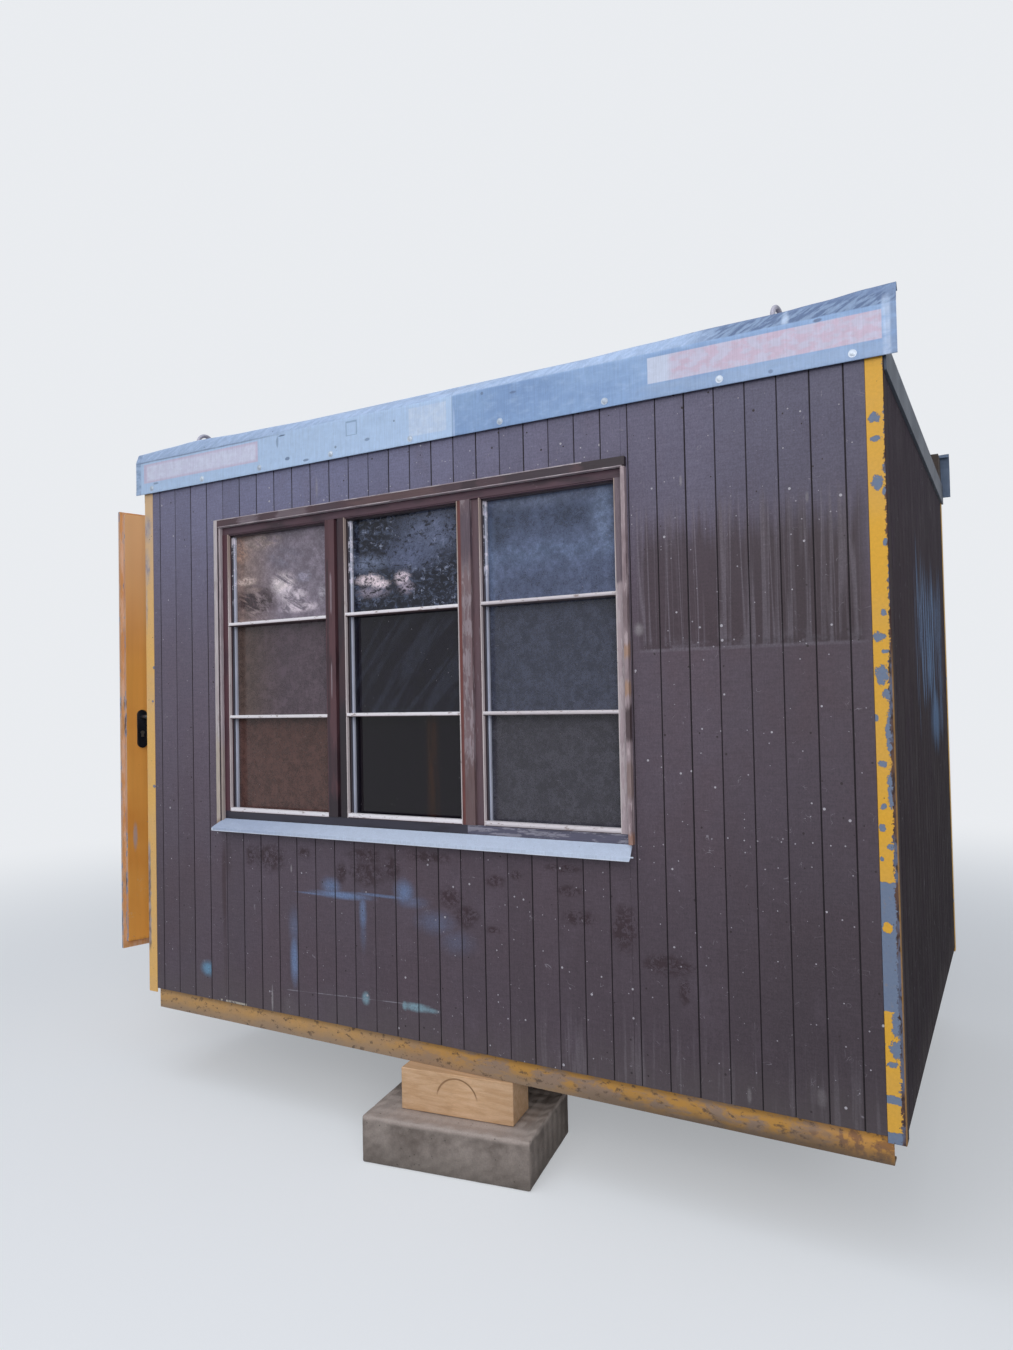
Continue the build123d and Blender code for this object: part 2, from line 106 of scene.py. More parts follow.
@dataclass(frozen=True)
class Planes:
    """The planes of the cabin that its pieces share, read from the solids."""

    left: float
    right: float
    front: float
    back: float
    datum_z: float
    wall_top: float
    wall_face: float

    @classmethod
    def from_frame(cls) -> "Planes":
        """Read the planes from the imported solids."""
        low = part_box("post_front_left")[0]
        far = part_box("post_back_right")[1]
        wall_low, wall_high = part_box("front_wall_left")
        return cls(
            left=low.x, right=far.x, front=low.y, back=far.y, datum_z=low.z,
            wall_top=wall_high.z, wall_face=wall_low.y,
        )

    @property
    def datum(self) -> Vector:
        """Return the point that photo places are given from."""
        return Vector((self.left, self.front, self.datum_z))

    def at(self, u: float, d: float, v: float) -> Vector:
        """Return the point at u along the front, d into the cabin and v above the datum."""
        return self.datum + Vector((u, d, v))


planes = Planes.from_frame()


class Graph:
    """A node tree that is built by short calls."""

    tree: bpy.types.NodeTree

    def feed(self, socket: Socket, value: object) -> None:
        """Link a socket or set it to a constant, or to a colour code; None leaves it."""
        if isinstance(value, bpy.types.NodeSocket):
            self.tree.links.new(value, socket)
        elif isinstance(value, str):
            socket.default_value = (*srgb(value), 1.0)
        elif value is not None:
            if socket.type == "RGBA" and len(value) == 3:
                value = (*value, 1.0)
            socket.default_value = value

    def node(self, kind: str, *values: object, **settings: object) -> bpy.types.Node:
        """Add a node.

        Args:
            kind: the node's type name.
            values: what its inputs take, in order, or one dict of that by name; None leaves an input.
            settings: properties of the node, set before its inputs.
        Returns:
            The node.
        """
        made = self.tree.nodes.new(kind)
        for key, value in settings.items():
            setattr(made, key, value)
        by_name = values and isinstance(values[0], dict)
        for key, value in values[0].items() if by_name else enumerate(values):
            self.feed(made.inputs[key], value)
        return made

    def out(self, kind: str, *values: object, **settings: object) -> Socket:
        """Add a node and return its first output."""
        return self.node(kind, *values, **settings).outputs[0]

    def math(self, operation: str, *values: object, clamp: bool = False) -> Socket:
        """Return the result of one Math node."""
        return self.out("ShaderNodeMath", *values, operation=operation, use_clamp=clamp)

    def plus(self, first: object, second: object) -> Socket:
        """Return the sum of two values."""
        return self.math("ADD", first, second)

    def minus(self, first: object, second: object, clamp: bool = False) -> Socket:
        """Return first less second, kept from 0 to 1 if clamp is set."""
        return self.math("SUBTRACT", first, second, clamp=clamp)

    def over(self, first: object, second: object) -> Socket:
        """Return first divided by second."""
        return self.math("DIVIDE", first, second)

    def both(self, *masks: object) -> Socket:
        """Return the product of several masks or amounts."""
        product = masks[0]
        for mask in masks[1:]:
            product = self.math("MULTIPLY", product, mask)
        return product

    def scaled(self, value: object, factor: object, added: object) -> Socket:
        """Return a value times a factor plus another value."""
        return self.math("MULTIPLY_ADD", value, factor, added)

    def off(self, value: object, middle: object) -> Socket:
        """Return how far a value is from another, on either side."""
        return self.math("ABSOLUTE", self.minus(value, middle))


class Shader(Graph):
    """One node material with a Principled surface, built from short pattern calls on Object coordinates."""

    def __init__(self, name: str) -> None:
        """Start an empty material whose coordinates are counted from the datum."""
        self.material = bpy.data.materials.new(name)
        self.material.use_nodes = True
        self.tree = self.material.node_tree
        self.tree.nodes.clear()
        self.output = self.node("ShaderNodeOutputMaterial")
        self.surface = self.node("ShaderNodeBsdfPrincipled")
        self.tree.links.new(self.surface.outputs[0], self.output.inputs["Surface"])
        self.coordinates = self.node("ShaderNodeTexCoord")
        self.place = self.vector("SUBTRACT", self.coordinates.outputs["Object"], planes.datum)
        split = self.node("ShaderNodeSeparateXYZ", self.place)
        self.u, self.d, self.v = split.outputs
        self.colour: object = None

    def chance(self, number: Socket) -> Socket:
        """Return a random value from 0 to 1 that a number always gives."""
        return self.out("ShaderNodeTexWhiteNoise", None, number, noise_dimensions="1D")

    def vector(self, operation: str, *values: object) -> Socket:
        """Return the result of one Vector Math node, as a value for LENGTH and as a vector otherwise."""
        made = self.node("ShaderNodeVectorMath", *values, operation=operation)
        return made.outputs["Value" if operation in ("LENGTH", "DISTANCE") else "Vector"]

    def ease(self, value: object, low: float, high: float, start: float = 0.0, end: float = 1.0) -> Socket:
        """Return start below low, end above high and a smooth step between; low may be above high."""
        return self.out("ShaderNodeMapRange", value, low, high, start, end, interpolation_type="SMOOTHSTEP")

    def stretched(self, stretch: Triple, shift: float = 0.0, turn: float = 0.0) -> Socket:
        """Return the coordinates turned about d, scaled by axis and moved aside."""
        place = self.place
        if turn:
            place = self.out("ShaderNodeVectorRotate", place, None, (0.0, 1.0, 0.0), turn)
        return self.out("ShaderNodeMapping", place, (shift, shift * 0.7, -shift * 1.3), None, stretch)

    def noise(self, scale: float, stretch: Triple = (1, 1, 1), detail: float = 3.0,
              rough: float = 0.5, distort: float = 0.0, shift: float = 0.0, turn: float = 0.0) -> Socket:
        """Return fractal noise from 0 to 1.

        Args:
            scale: features in each metre.
            stretch: a factor on the scale for each axis.
            detail: octaves added.
            rough: how strong the fine octaves are.
            distort: how far the pattern is swirled.
            shift: moves the pattern aside.
            turn: turns the pattern about d, in radians.
        Returns:
            The noise.
        """
        place = self.stretched(stretch, shift, turn)
        made = self.node("ShaderNodeTexNoise", place, None, scale, detail, rough)
        made.inputs["Distortion"].default_value = distort
        return made.outputs[0]

    def cells(self, scale: float, stretch: Triple = (1, 1, 1),
              shift: float = 0.0) -> tuple[Socket, Socket]:
        """Return the distance to the nearest point of a scatter and a random value of that point."""
        made = self.node("ShaderNodeTexVoronoi", self.stretched(stretch, shift), None, scale)
        return made.outputs["Distance"], self.out("ShaderNodeSeparateXYZ", made.outputs["Color"])

    def specks(self, scale: float, radius: float, share: float, shift: float = 0.0,
               stretch: Triple = (1, 1, 1)) -> Socket:
        """Return a mask of small round specks.

        Args:
            scale: cells in each metre.
            radius: a speck's radius in cells.
            share: the part of the cells that hold one.
            shift: moves the pattern aside.
            stretch: a factor on the scale for each axis.
        Returns:
            A mask, 1 in the specks.
        """
        distance, chance = self.cells(scale, stretch, shift)
        size = self.both(self.ease(chance, share, 0.0), radius)
        return self.math("LESS_THAN", distance, size)

    def band(self, value: Socket, low: float, high: float, soft: float) -> Socket:
        """Return 1 between low and high, fading over soft inside each end."""
        rise = self.ease(value, low, low + soft)
        return self.both(rise, self.ease(value, high, high - soft))

    def either(self, *masks: Socket) -> Socket:
        """Return the largest of several masks."""
        largest = masks[0]
        for mask in masks[1:]:
            largest = self.math("MAXIMUM", largest, mask)
        return largest

    def mix(self, factor: object, first: object, second: object) -> Socket:
        """Return first where factor is 0 and second where it is 1."""
        made = self.node("ShaderNodeMix", data_type="RGBA")
        return self.blended(made, factor, first, second)

    def blended(self, made: bpy.types.Node, factor: object, first: object, second: object) -> Socket:
        """Feed the colour inputs of a Mix node and return its colour."""
        for index, value in ((0, factor), (6, first), (7, second)):
            self.feed(made.inputs[index], value)
        return made.outputs[2]

    def lay(self, mask: object, colour: object, share: float = 1.0) -> None:
        """Lay another colour over the surface's colour, where a mask is 1, as strongly as share says."""
        if share != 1.0:
            mask = self.both(mask, share)
        self.colour = self.mix(mask, self.colour, colour)

    def dim(self, amount: Socket) -> None:
        """Multiply the surface's colour by a grey amount."""
        self.colour = self.shade(self.colour, amount)

    def shade(self, colour: object, amount: Socket) -> Socket:
        """Return a colour multiplied by a grey amount."""
        made = self.node("ShaderNodeMix", data_type="RGBA", blend_type="MULTIPLY")
        return self.blended(made, 1.0, colour, amount)

    def smear(self, mark: "Smear", ragged: Socket) -> Socket:
        """Return the mask of one smear.

        Args:
            mark: its place, half sizes and edge.
            ragged: noise that breaks its edge.
        Returns:
            A mask of up to the smear's strength.
        """
        aside = self.vector("SUBTRACT", self.place, (mark.u, mark.d, mark.v))
        reach = self.vector("MULTIPLY", aside, (1 / mark.half_u, mark.flat_d, 1 / mark.half_v))
        distance = self.vector("LENGTH", reach)
        broken = self.scaled(ragged, mark.ragged, distance)
        middle = 1.0 + mark.ragged * 0.5
        mask = self.ease(broken, middle + mark.soft, middle - mark.soft, 0.0, mark.strength)
        return mask if mark.stop > 8 else self.both(mask, self.ease(self.u, mark.stop, mark.stop - 0.001))

    def patches(self, marks: tuple["Smear", ...], ragged: Socket) -> Socket:
        """Return the mask of several smears together."""
        return self.either(*(self.smear(mark, ragged) for mark in marks))

    def panel(self, u: float, v: float, half_u: float, half_v: float, edge: float = 0.001) -> Socket:
        """Return the mask of an upright rectangle with a crisp edge."""
        aside = self.vector("SUBTRACT", self.place, (u, 0.0, v))
        over = self.vector("SUBTRACT", self.vector("ABSOLUTE", aside), (half_u, 0.0, half_v))
        split = self.node("ShaderNodeSeparateXYZ", over)
        return self.ease(self.math("MAXIMUM", split.outputs[0], split.outputs[2]), edge, 0.0)

    def bump(self, height: Socket, depth: float, normal: Socket | None = None,
             strength: float = 1.0) -> Socket:
        """Return a normal bent by a height from 0 to 1 that stands for depth metres."""
        made = self.node("ShaderNodeBump")
        made.inputs["Strength"].default_value = strength
        made.inputs["Distance"].default_value = depth
        self.feed(made.inputs["Height"], height)
        self.feed(made.inputs["Normal"], normal)
        return made.outputs[0]

    def finish(self, rough: object, normal: Socket | None = None, specular: float = 0.5,
               metal: object = 0.0) -> bpy.types.Material:
        """Set the surface and return the material."""
        values = {"Base Color": self.colour, "Roughness": rough, "Metallic": metal, "Normal": normal,
                  "Specular IOR Level": specular}
        for name, value in values.items():
            self.feed(self.surface.inputs[name], value)
        return self.material


@dataclass(frozen=True)
class Smear:
    """A soft mark on the front: its centre, half sizes and strength."""

    u: float
    v: float
    half_u: float
    half_v: float
    strength: float = 1.0
    soft: float = 0.3
    ragged: float = 0.5
    d: float = 0.0
    flat_d: float = 0.0
    stop: float = 9.0


def smears(*rows: tuple[float, ...]) -> tuple[Smear, ...]:
    """Return the smears that rows of their values stand for."""
    return tuple(Smear(*row) for row in rows)


@dataclass(frozen=True)
class Band:
    """A stretch of height or length, from low to high, fading over soft."""

    low: float
    high: float
    soft: float = 0.02


@dataclass(frozen=True)
class Zone:
    """A stretch of timber in another colour: its heights, its reach along the front and its strength."""

    low: float
    high: float
    colour: str
    strength: float = 1.0
    start: float = -9.0
    end: float = 9.0
    soft: float = 0.03
    side: float = 0.002


BOARD_PITCH = 0.09614
FIRST_JOINT = 0.0959
JOINT = 0.004
FRONT_BOW = 0.0095


@dataclass(frozen=True)
class Cladding:
    """Weathered brown paint on profiled boards, with painted light and shade: paler and bluer at the top,
    darker low down, and on the front darker towards the right.
    """

    name: str
    along: Along = Along.X
    seen_front: bool = False
    bow: float = 0.0
    paint: str = "594e59"
    warm: str = "584a53"
    # The next colour is painted light on the upper boards; the one after it is painted shade on the lower
    # boards.
    skylit_top: str = "777a98"
    low: str = "483d45"
    gloss: float = 0.35
    rough: float = 0.46
    joint: str = "261e25"

    def build(self) -> bpy.types.Material:
        """Return the material."""
        s = Shader(self.name)
        run = s.u if self.along is Along.X else s.d
        bend = s.math("SINE", s.both(run, math.pi / (planes.right - planes.left)))
        straight = s.scaled(bend, -self.bow, run) if self.bow else run
        steps = s.over(s.minus(straight, FIRST_JOINT), BOARD_PITCH)
        board = s.chance(s.math("FLOOR", steps))
        depth = s.chance(s.math("FLOOR", s.plus(steps, 0.5)))
        grain = s.noise(420, (1, 1, 0.03), 3, 0.6)
        sand = s.noise(240, (1, 1, 0.8), 3, 0.75, shift=3)
        brushed = s.noise(150, (0.12, 0.12, 1), 3, 0.7, 0.4, 17)
        clouds = s.noise(2.3, detail=4, rough=0.6)
        patches = s.noise(9, (1, 1, 0.5), 4, 0.65, shift=7)
        s.colour = s.mix(s.ease(clouds, 0.38, 0.66), self.paint, self.warm)
        # Painted light and shade: paler and bluer towards the top, most on the left; darker towards the
        # bottom, most on the right.
        left = s.ease(s.u, 2.3, 0.2, 0.45, 1.0) if self.seen_front else 0.4
        s.lay(s.both(s.ease(s.v, 1.35, 2.25), left), self.skylit_top)
        low = s.ease(s.u, 0.6, 2.6, 0.4, 1.0) if self.seen_front else 0.4
        s.lay(s.both(s.ease(s.v, 1.3, 0.2), low), self.low)
        s.lay(s.ease(patches, 0.5, 0.8, 0.0, 0.35), "665b66")
        if self.seen_front:
            # Painted light: paler on the upper left of the front.
            high = s.both(s.ease(s.u, 1.3, 0.0, 0.0, 0.5), s.ease(s.v, 0.4, 1.4))
            s.lay(high, "6d6678")
            wet = self.marks(s)
            # Painted shade: darker towards the right end of the front.
            s.dim(s.ease(s.u, 2.1, 3.1, 1.0, 0.7))
        else:
            wet = None
            self.end_marks(s)
            # Painted shade: the end walls darker towards the bottom.
            if self.along is Along.Y:
                s.dim(s.ease(s.v, 0.9, 1.7, 0.7, 0.98))
        tone = s.scaled(board, 0.14, 0.92)
        tone = s.both(tone, s.ease(grain, 0.25, 0.8, 0.93, 1.06))
        tone = s.both(tone, s.ease(sand, 0.3, 0.7, 0.84, 1.17))
        tone = s.both(tone, s.ease(brushed, 0.3, 0.7, 0.92, 1.08))
        s.dim(tone)
        dusty = s.ease(s.plus(s.v, s.both(patches, 0.2)), 0.3, 0.08, 0.0, 0.35)
        s.lay(dusty, "57504f")
        spot = s.specks(28, 0.125, 0.3)
        s.lay(spot if self.seen_front else s.both(spot, 0.4), "a9a5ac")
        if self.seen_front:
            s.lay(s.specks(62, 0.15, 0.2, shift=5), "98939b")
        s.lay(s.specks(36, 0.14, 0.26, shift=11), "2e2529")
        hair = s.off(s.noise(13, detail=1, distort=2.4, shift=23), 0.5)
        fleck = s.both(s.ease(hair, 0.007, 0.002), s.ease(s.noise(21, shift=27), 0.6, 0.65))
        s.lay(fleck, "918c94", 0.6)
        gap = s.off(s.math("FRACT", s.plus(steps, 0.5)), 0.5)
        groove = s.ease(gap, JOINT * 0.85 / BOARD_PITCH, JOINT * 0.3 / BOARD_PITCH)
        groove = s.both(groove, s.ease(depth, 0.1, 0.8, 0.45, 0.95 if self.seen_front else 0.6))
        s.lay(groove, self.joint)
        rough = s.ease(patches, 0.3, 0.8, self.rough, self.rough + 0.2)
        if wet is not None:
            rough = s.minus(rough, s.both(wet, 0.1))
        normal = s.bump(s.plus(grain, s.both(sand, 0.7)), 0.0005)
        return s.finish(rough, normal, self.gloss)

    def marks(self, s: Shader) -> Socket:
        """Lay the front's stains and return the mask of the damp band."""
        ragged = s.noise(28, detail=4, rough=0.7, shift=4)
        damp = self.damp_band(s, ragged)
        self.scribbles(s)
        smooth = s.noise(30, (1, 1, 0.25), 3, 0.6, shift=31)
        drips = smears(
            (0.466, 0.5, 0.011, 0.17, 0.65, 0.5, 0.6), (0.47, 0.24, 0.01, 0.2, 0.3, 0.5, 0.6),
            (0.49, 0.62, 0.02, 0.07, 0.35, 0.5, 0.8),
        )
        for mark in drips:
            s.lay(s.smear(mark, smooth), "38272c")
        self.blue_smears(s, ragged)
        pale = smears(
            (0.731, 0.065, 0.0045, 0.048, 0.75, 0.5, 0.7), (2.338, 1.475, 0.013, 0.016, 0.55, 0.8, 0.9),
            (2.865, 0.09, 0.012, 0.024, 0.35, 0.6, 0.9), (2.655, 0.055, 0.006, 0.022, 0.45, 0.6, 0.7),
            (2.49, 1.935, 0.004, 0.014, 0.5, 0.6, 0.6), (2.872, 1.835, 0.004, 0.014, 0.5, 0.6, 0.6),
            (1.003, 2.11, 0.005, 0.036, 0.4, 0.7, 0.8), (0.842, 0.6, 0.004, 0.014, 0.6, 0.5, 0.6),
            (1.548, 0.06, 0.003, 0.034, 0.5, 0.5, 0.6),
        )
        s.lay(s.patches(pale, ragged), "9d979b")
        fan = s.both(s.smear(Smear(0.832, 0.045, 0.034, 0.045, 0.4, 0.6, 0.9), ragged),
                     s.ease(s.u, 0.85, 0.79, 0.4, 1.0))
        s.lay(fan, "746d71")
        streak = s.noise(55, (1, 1, 0.05), 3, 0.6, shift=35)
        dust_and_reflection = s.both(s.ease(s.v, 0.3, 0.05), s.ease(s.u, 1.7, 2.1), s.ease(streak, 0.52, 0.68, 0.0, 0.4))
        s.lay(dust_and_reflection, "7a727a")
        run = s.either(s.band(s.u, 0.394, 0.452, 0.004), s.band(s.u, 0.468, 0.59, 0.004))
        crumbs = s.both(s.band(s.v, 0.0165, 0.028, 0.003), run, s.ease(ragged, 0.42, 0.5))
        s.lay(crumbs, "cfc6b8")
        return damp

    def damp_band(self, s: Shader, ragged: Socket) -> Socket:
        """Lay the dark damp band beside the window and return its mask."""
        reach = s.scaled(s.noise(30, (1, 0, 0), 3, 0.6, shift=9), 0.46, 1.57)
        damp = s.both(
            s.band(s.u, 2.32, 3.045, 0.05), s.ease(s.v, 1.402, 1.412),
            s.ease(s.minus(reach, s.v), -0.05, 0.09),
        )
        s.lay(s.both(damp, s.ease(s.u, 2.5, 3.0, 0.84, 0.96)), "40333a")
        wander = s.off(s.noise(27, (1, 1, 0.02), 2, 0.5, 0.2, 2), 0.5)
        thread = s.ease(wander, 0.04, 0.006)
        second = s.off(s.noise(44, (1, 1, 0.016), 1, 0.5, 0.2, 12), 0.5)
        runs = s.either(thread, s.ease(second, 0.05, 0.01, 0.0, 0.45))
        zone = s.both(s.band(s.u, 2.31, 3.05, 0.03), s.ease(s.v, 1.41, 1.44), s.ease(s.v, 1.9, 1.8))
        s.lay(s.both(zone, runs), "7a717b", 0.5)
        crest = s.both(
            s.band(s.u, 2.32, 3.05, 0.04), s.ease(s.v, 1.402, 1.408), s.ease(s.v, 1.465, 1.41),
            s.ease(s.plus(ragged, s.both(runs, 0.15)), 0.48, 0.66),
        )
        s.lay(crest, "6f6872", 0.5)
        tide = s.both(s.band(s.u, 2.31, 3.05, 0.05), s.band(s.v, 1.396, 1.412, 0.006),
                      s.ease(ragged, 0.3, 0.6, 0.15, 0.5))
        s.lay(tide, "756e78")
        return damp

    def scribbles(self, s: Shader) -> None:
        """Lay the dark blotches of dirt under the window."""
        coarse = s.noise(20, (1, 1, 1.4), 4, 0.7, 0.8, 13)
        places = (
            (0.622, 0.64, 0.024, 0.045), (0.725, 0.635, 0.08, 0.05), (0.905, 0.665, 0.035, 0.022),
            (1.1, 0.6, 0.026, 0.036), (1.215, 0.675, 0.075, 0.028), (1.225, 0.61, 0.08, 0.045),
            (1.34, 0.64, 0.038, 0.042), (1.5, 0.69, 0.085, 0.02), (1.6, 0.552, 0.048, 0.036),
            (1.665, 0.492, 0.05, 0.036), (1.775, 0.455, 0.03, 0.012), (1.785, 0.625, 0.036, 0.02),
            (1.87, 0.652, 0.02, 0.016), (2.07, 0.615, 0.042, 0.018), (2.105, 0.53, 0.06, 0.024),
            (2.265, 0.51, 0.045, 0.07), (2.41, 0.41, 0.075, 0.03), (2.462, 0.34, 0.018, 0.04),
            (2.05, 0.69, 0.06, 0.015),
        )
        patch = s.patches(smears(*((*place, 1.0, 0.5, 1.2) for place in places)), coarse)
        curl = s.off(s.noise(26, (1, 1, 1.5), 2, 0.6, 2.0, 6), 0.5)
        ink = s.either(s.ease(curl, 0.06, 0.02),
                       s.ease(s.noise(34, detail=4, rough=0.7, shift=41), 0.47, 0.56))
        s.lay(s.both(patch, ink), "33232a", 0.92)

    def blue_smears(self, s: Shader, ragged: Socket) -> None:
        """Lay the pale-blue spray marks under the window."""
        lifted = s.plus(s.v, s.scaled(s.u, -0.05, 0.057))
        joint_u = 0.8745
        upper = smears(
            (1.095, 0.516, 0.115, 0.012, 0.8, 0.7, 0.5), (0.985, 0.51, 0.1, 0.0035, 0.6, 0.6, 0.6),
            (1.045, 0.545, 0.036, 0.026, 0.62, 0.9, 0.6), (1.3, 0.53, 0.14, 0.005, 0.6, 0.7, 0.6),
            (1.395, 0.553, 0.034, 0.034, 0.66, 0.9, 0.6), (1.425, 0.52, 0.055, 0.018, 0.3, 0.9, 0.6),
            (1.2, 0.46, 0.014, 0.06, 0.6, 0.7, 0.5), (1.2, 0.38, 0.012, 0.05, 0.22, 0.9, 0.5),
            (0.853, 0.24, 0.017, 0.078, 0.8, 0.8, 0.5, 0.0, 0.0, joint_u),
            (0.856, 0.372, 0.024, 0.055, 0.3, 0.9, 0.7, 0.0, 0.0, joint_u),
            (1.53, 0.455, 0.06, 0.032, 0.28, 1.0, 0.8), (1.62, 0.395, 0.055, 0.032, 0.18, 1.0, 0.8),
        )
        lower = smears(
            (1.208, 0.138, 0.015, 0.021, 0.85, 0.6, 0.6), (1.389, 0.137, 0.011, 0.014, 0.85, 0.5, 0.6),
            (1.445, 0.138, 0.055, 0.014, 0.85, 0.5, 0.9), (1.5, 0.136, 0.035, 0.008, 0.7, 0.6, 0.8),
        )
        dot = Smear(0.366, 0.143, 0.03, 0.024, 0.9, 0.8, 0.5, stop=0.389)
        spray = s.ease(s.noise(190, detail=3, rough=0.7, shift=44), 0.3, 0.62, 0.62, 1.0)
        for marks, thin, thick in ((upper, "607ba4", "8298bf"), (lower, "6f93a6", "93b3bd")):
            s.lay(s.both(s.patches(marks, ragged), spray), s.mix(ragged, thin, thick))
        s.lay(s.both(s.smear(dot, ragged), spray), "6b9bbb")
        line = s.both(s.band(lifted, 0.1295, 0.1345, 0.0018), s.band(s.u, 0.8, 1.4, 0.03),
                      s.ease(s.noise(9, shift=47), 0.42, 0.58, 0.15, 0.75))
        s.lay(line, "918e98")

    def end_marks(self, s: Shader) -> None:
        """Lay the long pale-blue runs on the right end; the back has none."""
        if self.along is Along.X:
            return
        streak = s.noise(44, (1, 1, 0.02), 3, 0.65, shift=2)
        swing = s.noise(9, (0, 1, 0), 2, shift=6)
        low = s.scaled(swing, -0.9, s.scaled(s.d, -0.1, 1.72))
        high = s.scaled(swing, 0.5, 1.55)
        reach = s.both(s.ease(s.minus(s.v, low), 0.0, 0.12), s.ease(s.minus(high, s.v), 0.0, 0.2))
        runs = s.both(s.band(s.d, 0.65, 1.98, 0.15), reach, s.ease(streak, 0.51, 0.57), s.ease(s.u, 2.9, 3.0))
        blot = s.both(s.smear(Smear(3.09, 1.14, 1.0, 0.08, 0.6, 0.8, 3.0, 1.45, 6.0), streak),
                      s.ease(s.u, 2.9, 3.0))
        s.lay(s.either(s.both(runs, 0.9), blot), "8fb0da")


@dataclass(frozen=True)
class WallPanel:
    """The wall behind the boards: dark in the joints, with a plain lining inside."""

    name: str = "wall_panel"
    outside: str = "1d171b"
    # The lining is brown wood, painted darker to stand for shade in the unlit inside.
    lining: str = "4b3f38"
    thickness: float = 0.03
    sheet_width: float = 0.61

    def build(self) -> bpy.types.Material:
        """Return the material."""
        s = Shader(self.name)
        depth = planes.wall_face - planes.front + self.thickness
        length = planes.right - planes.left
        width = planes.back - planes.front
        inner_u = s.band(s.u, depth, length - depth, 0.001)
        inner_d = s.band(s.d, depth, width - depth, 0.001)
        inside = s.both(inner_u, inner_d)
        grain = s.noise(60, (1, 1, 0.06), 3, 0.6)
        stain = s.noise(2.0, detail=4, rough=0.6, shift=4)
        lining = s.shade(self.lining, s.ease(grain, 0.2, 0.8, 0.85, 1.12))
        lining = s.mix(s.ease(stain, 0.45, 0.75, 0.0, 0.5), lining, "3f362f")
        sheet = s.off(s.math("FRACT", s.over(s.u, self.sheet_width)), 0.5)
        lining = s.mix(s.ease(sheet, 0.494, 0.498), lining, "241e1a")
        s.colour = s.mix(inside, self.outside, lining)
        return s.finish(0.7, s.bump(grain, 0.0004), 0.3)


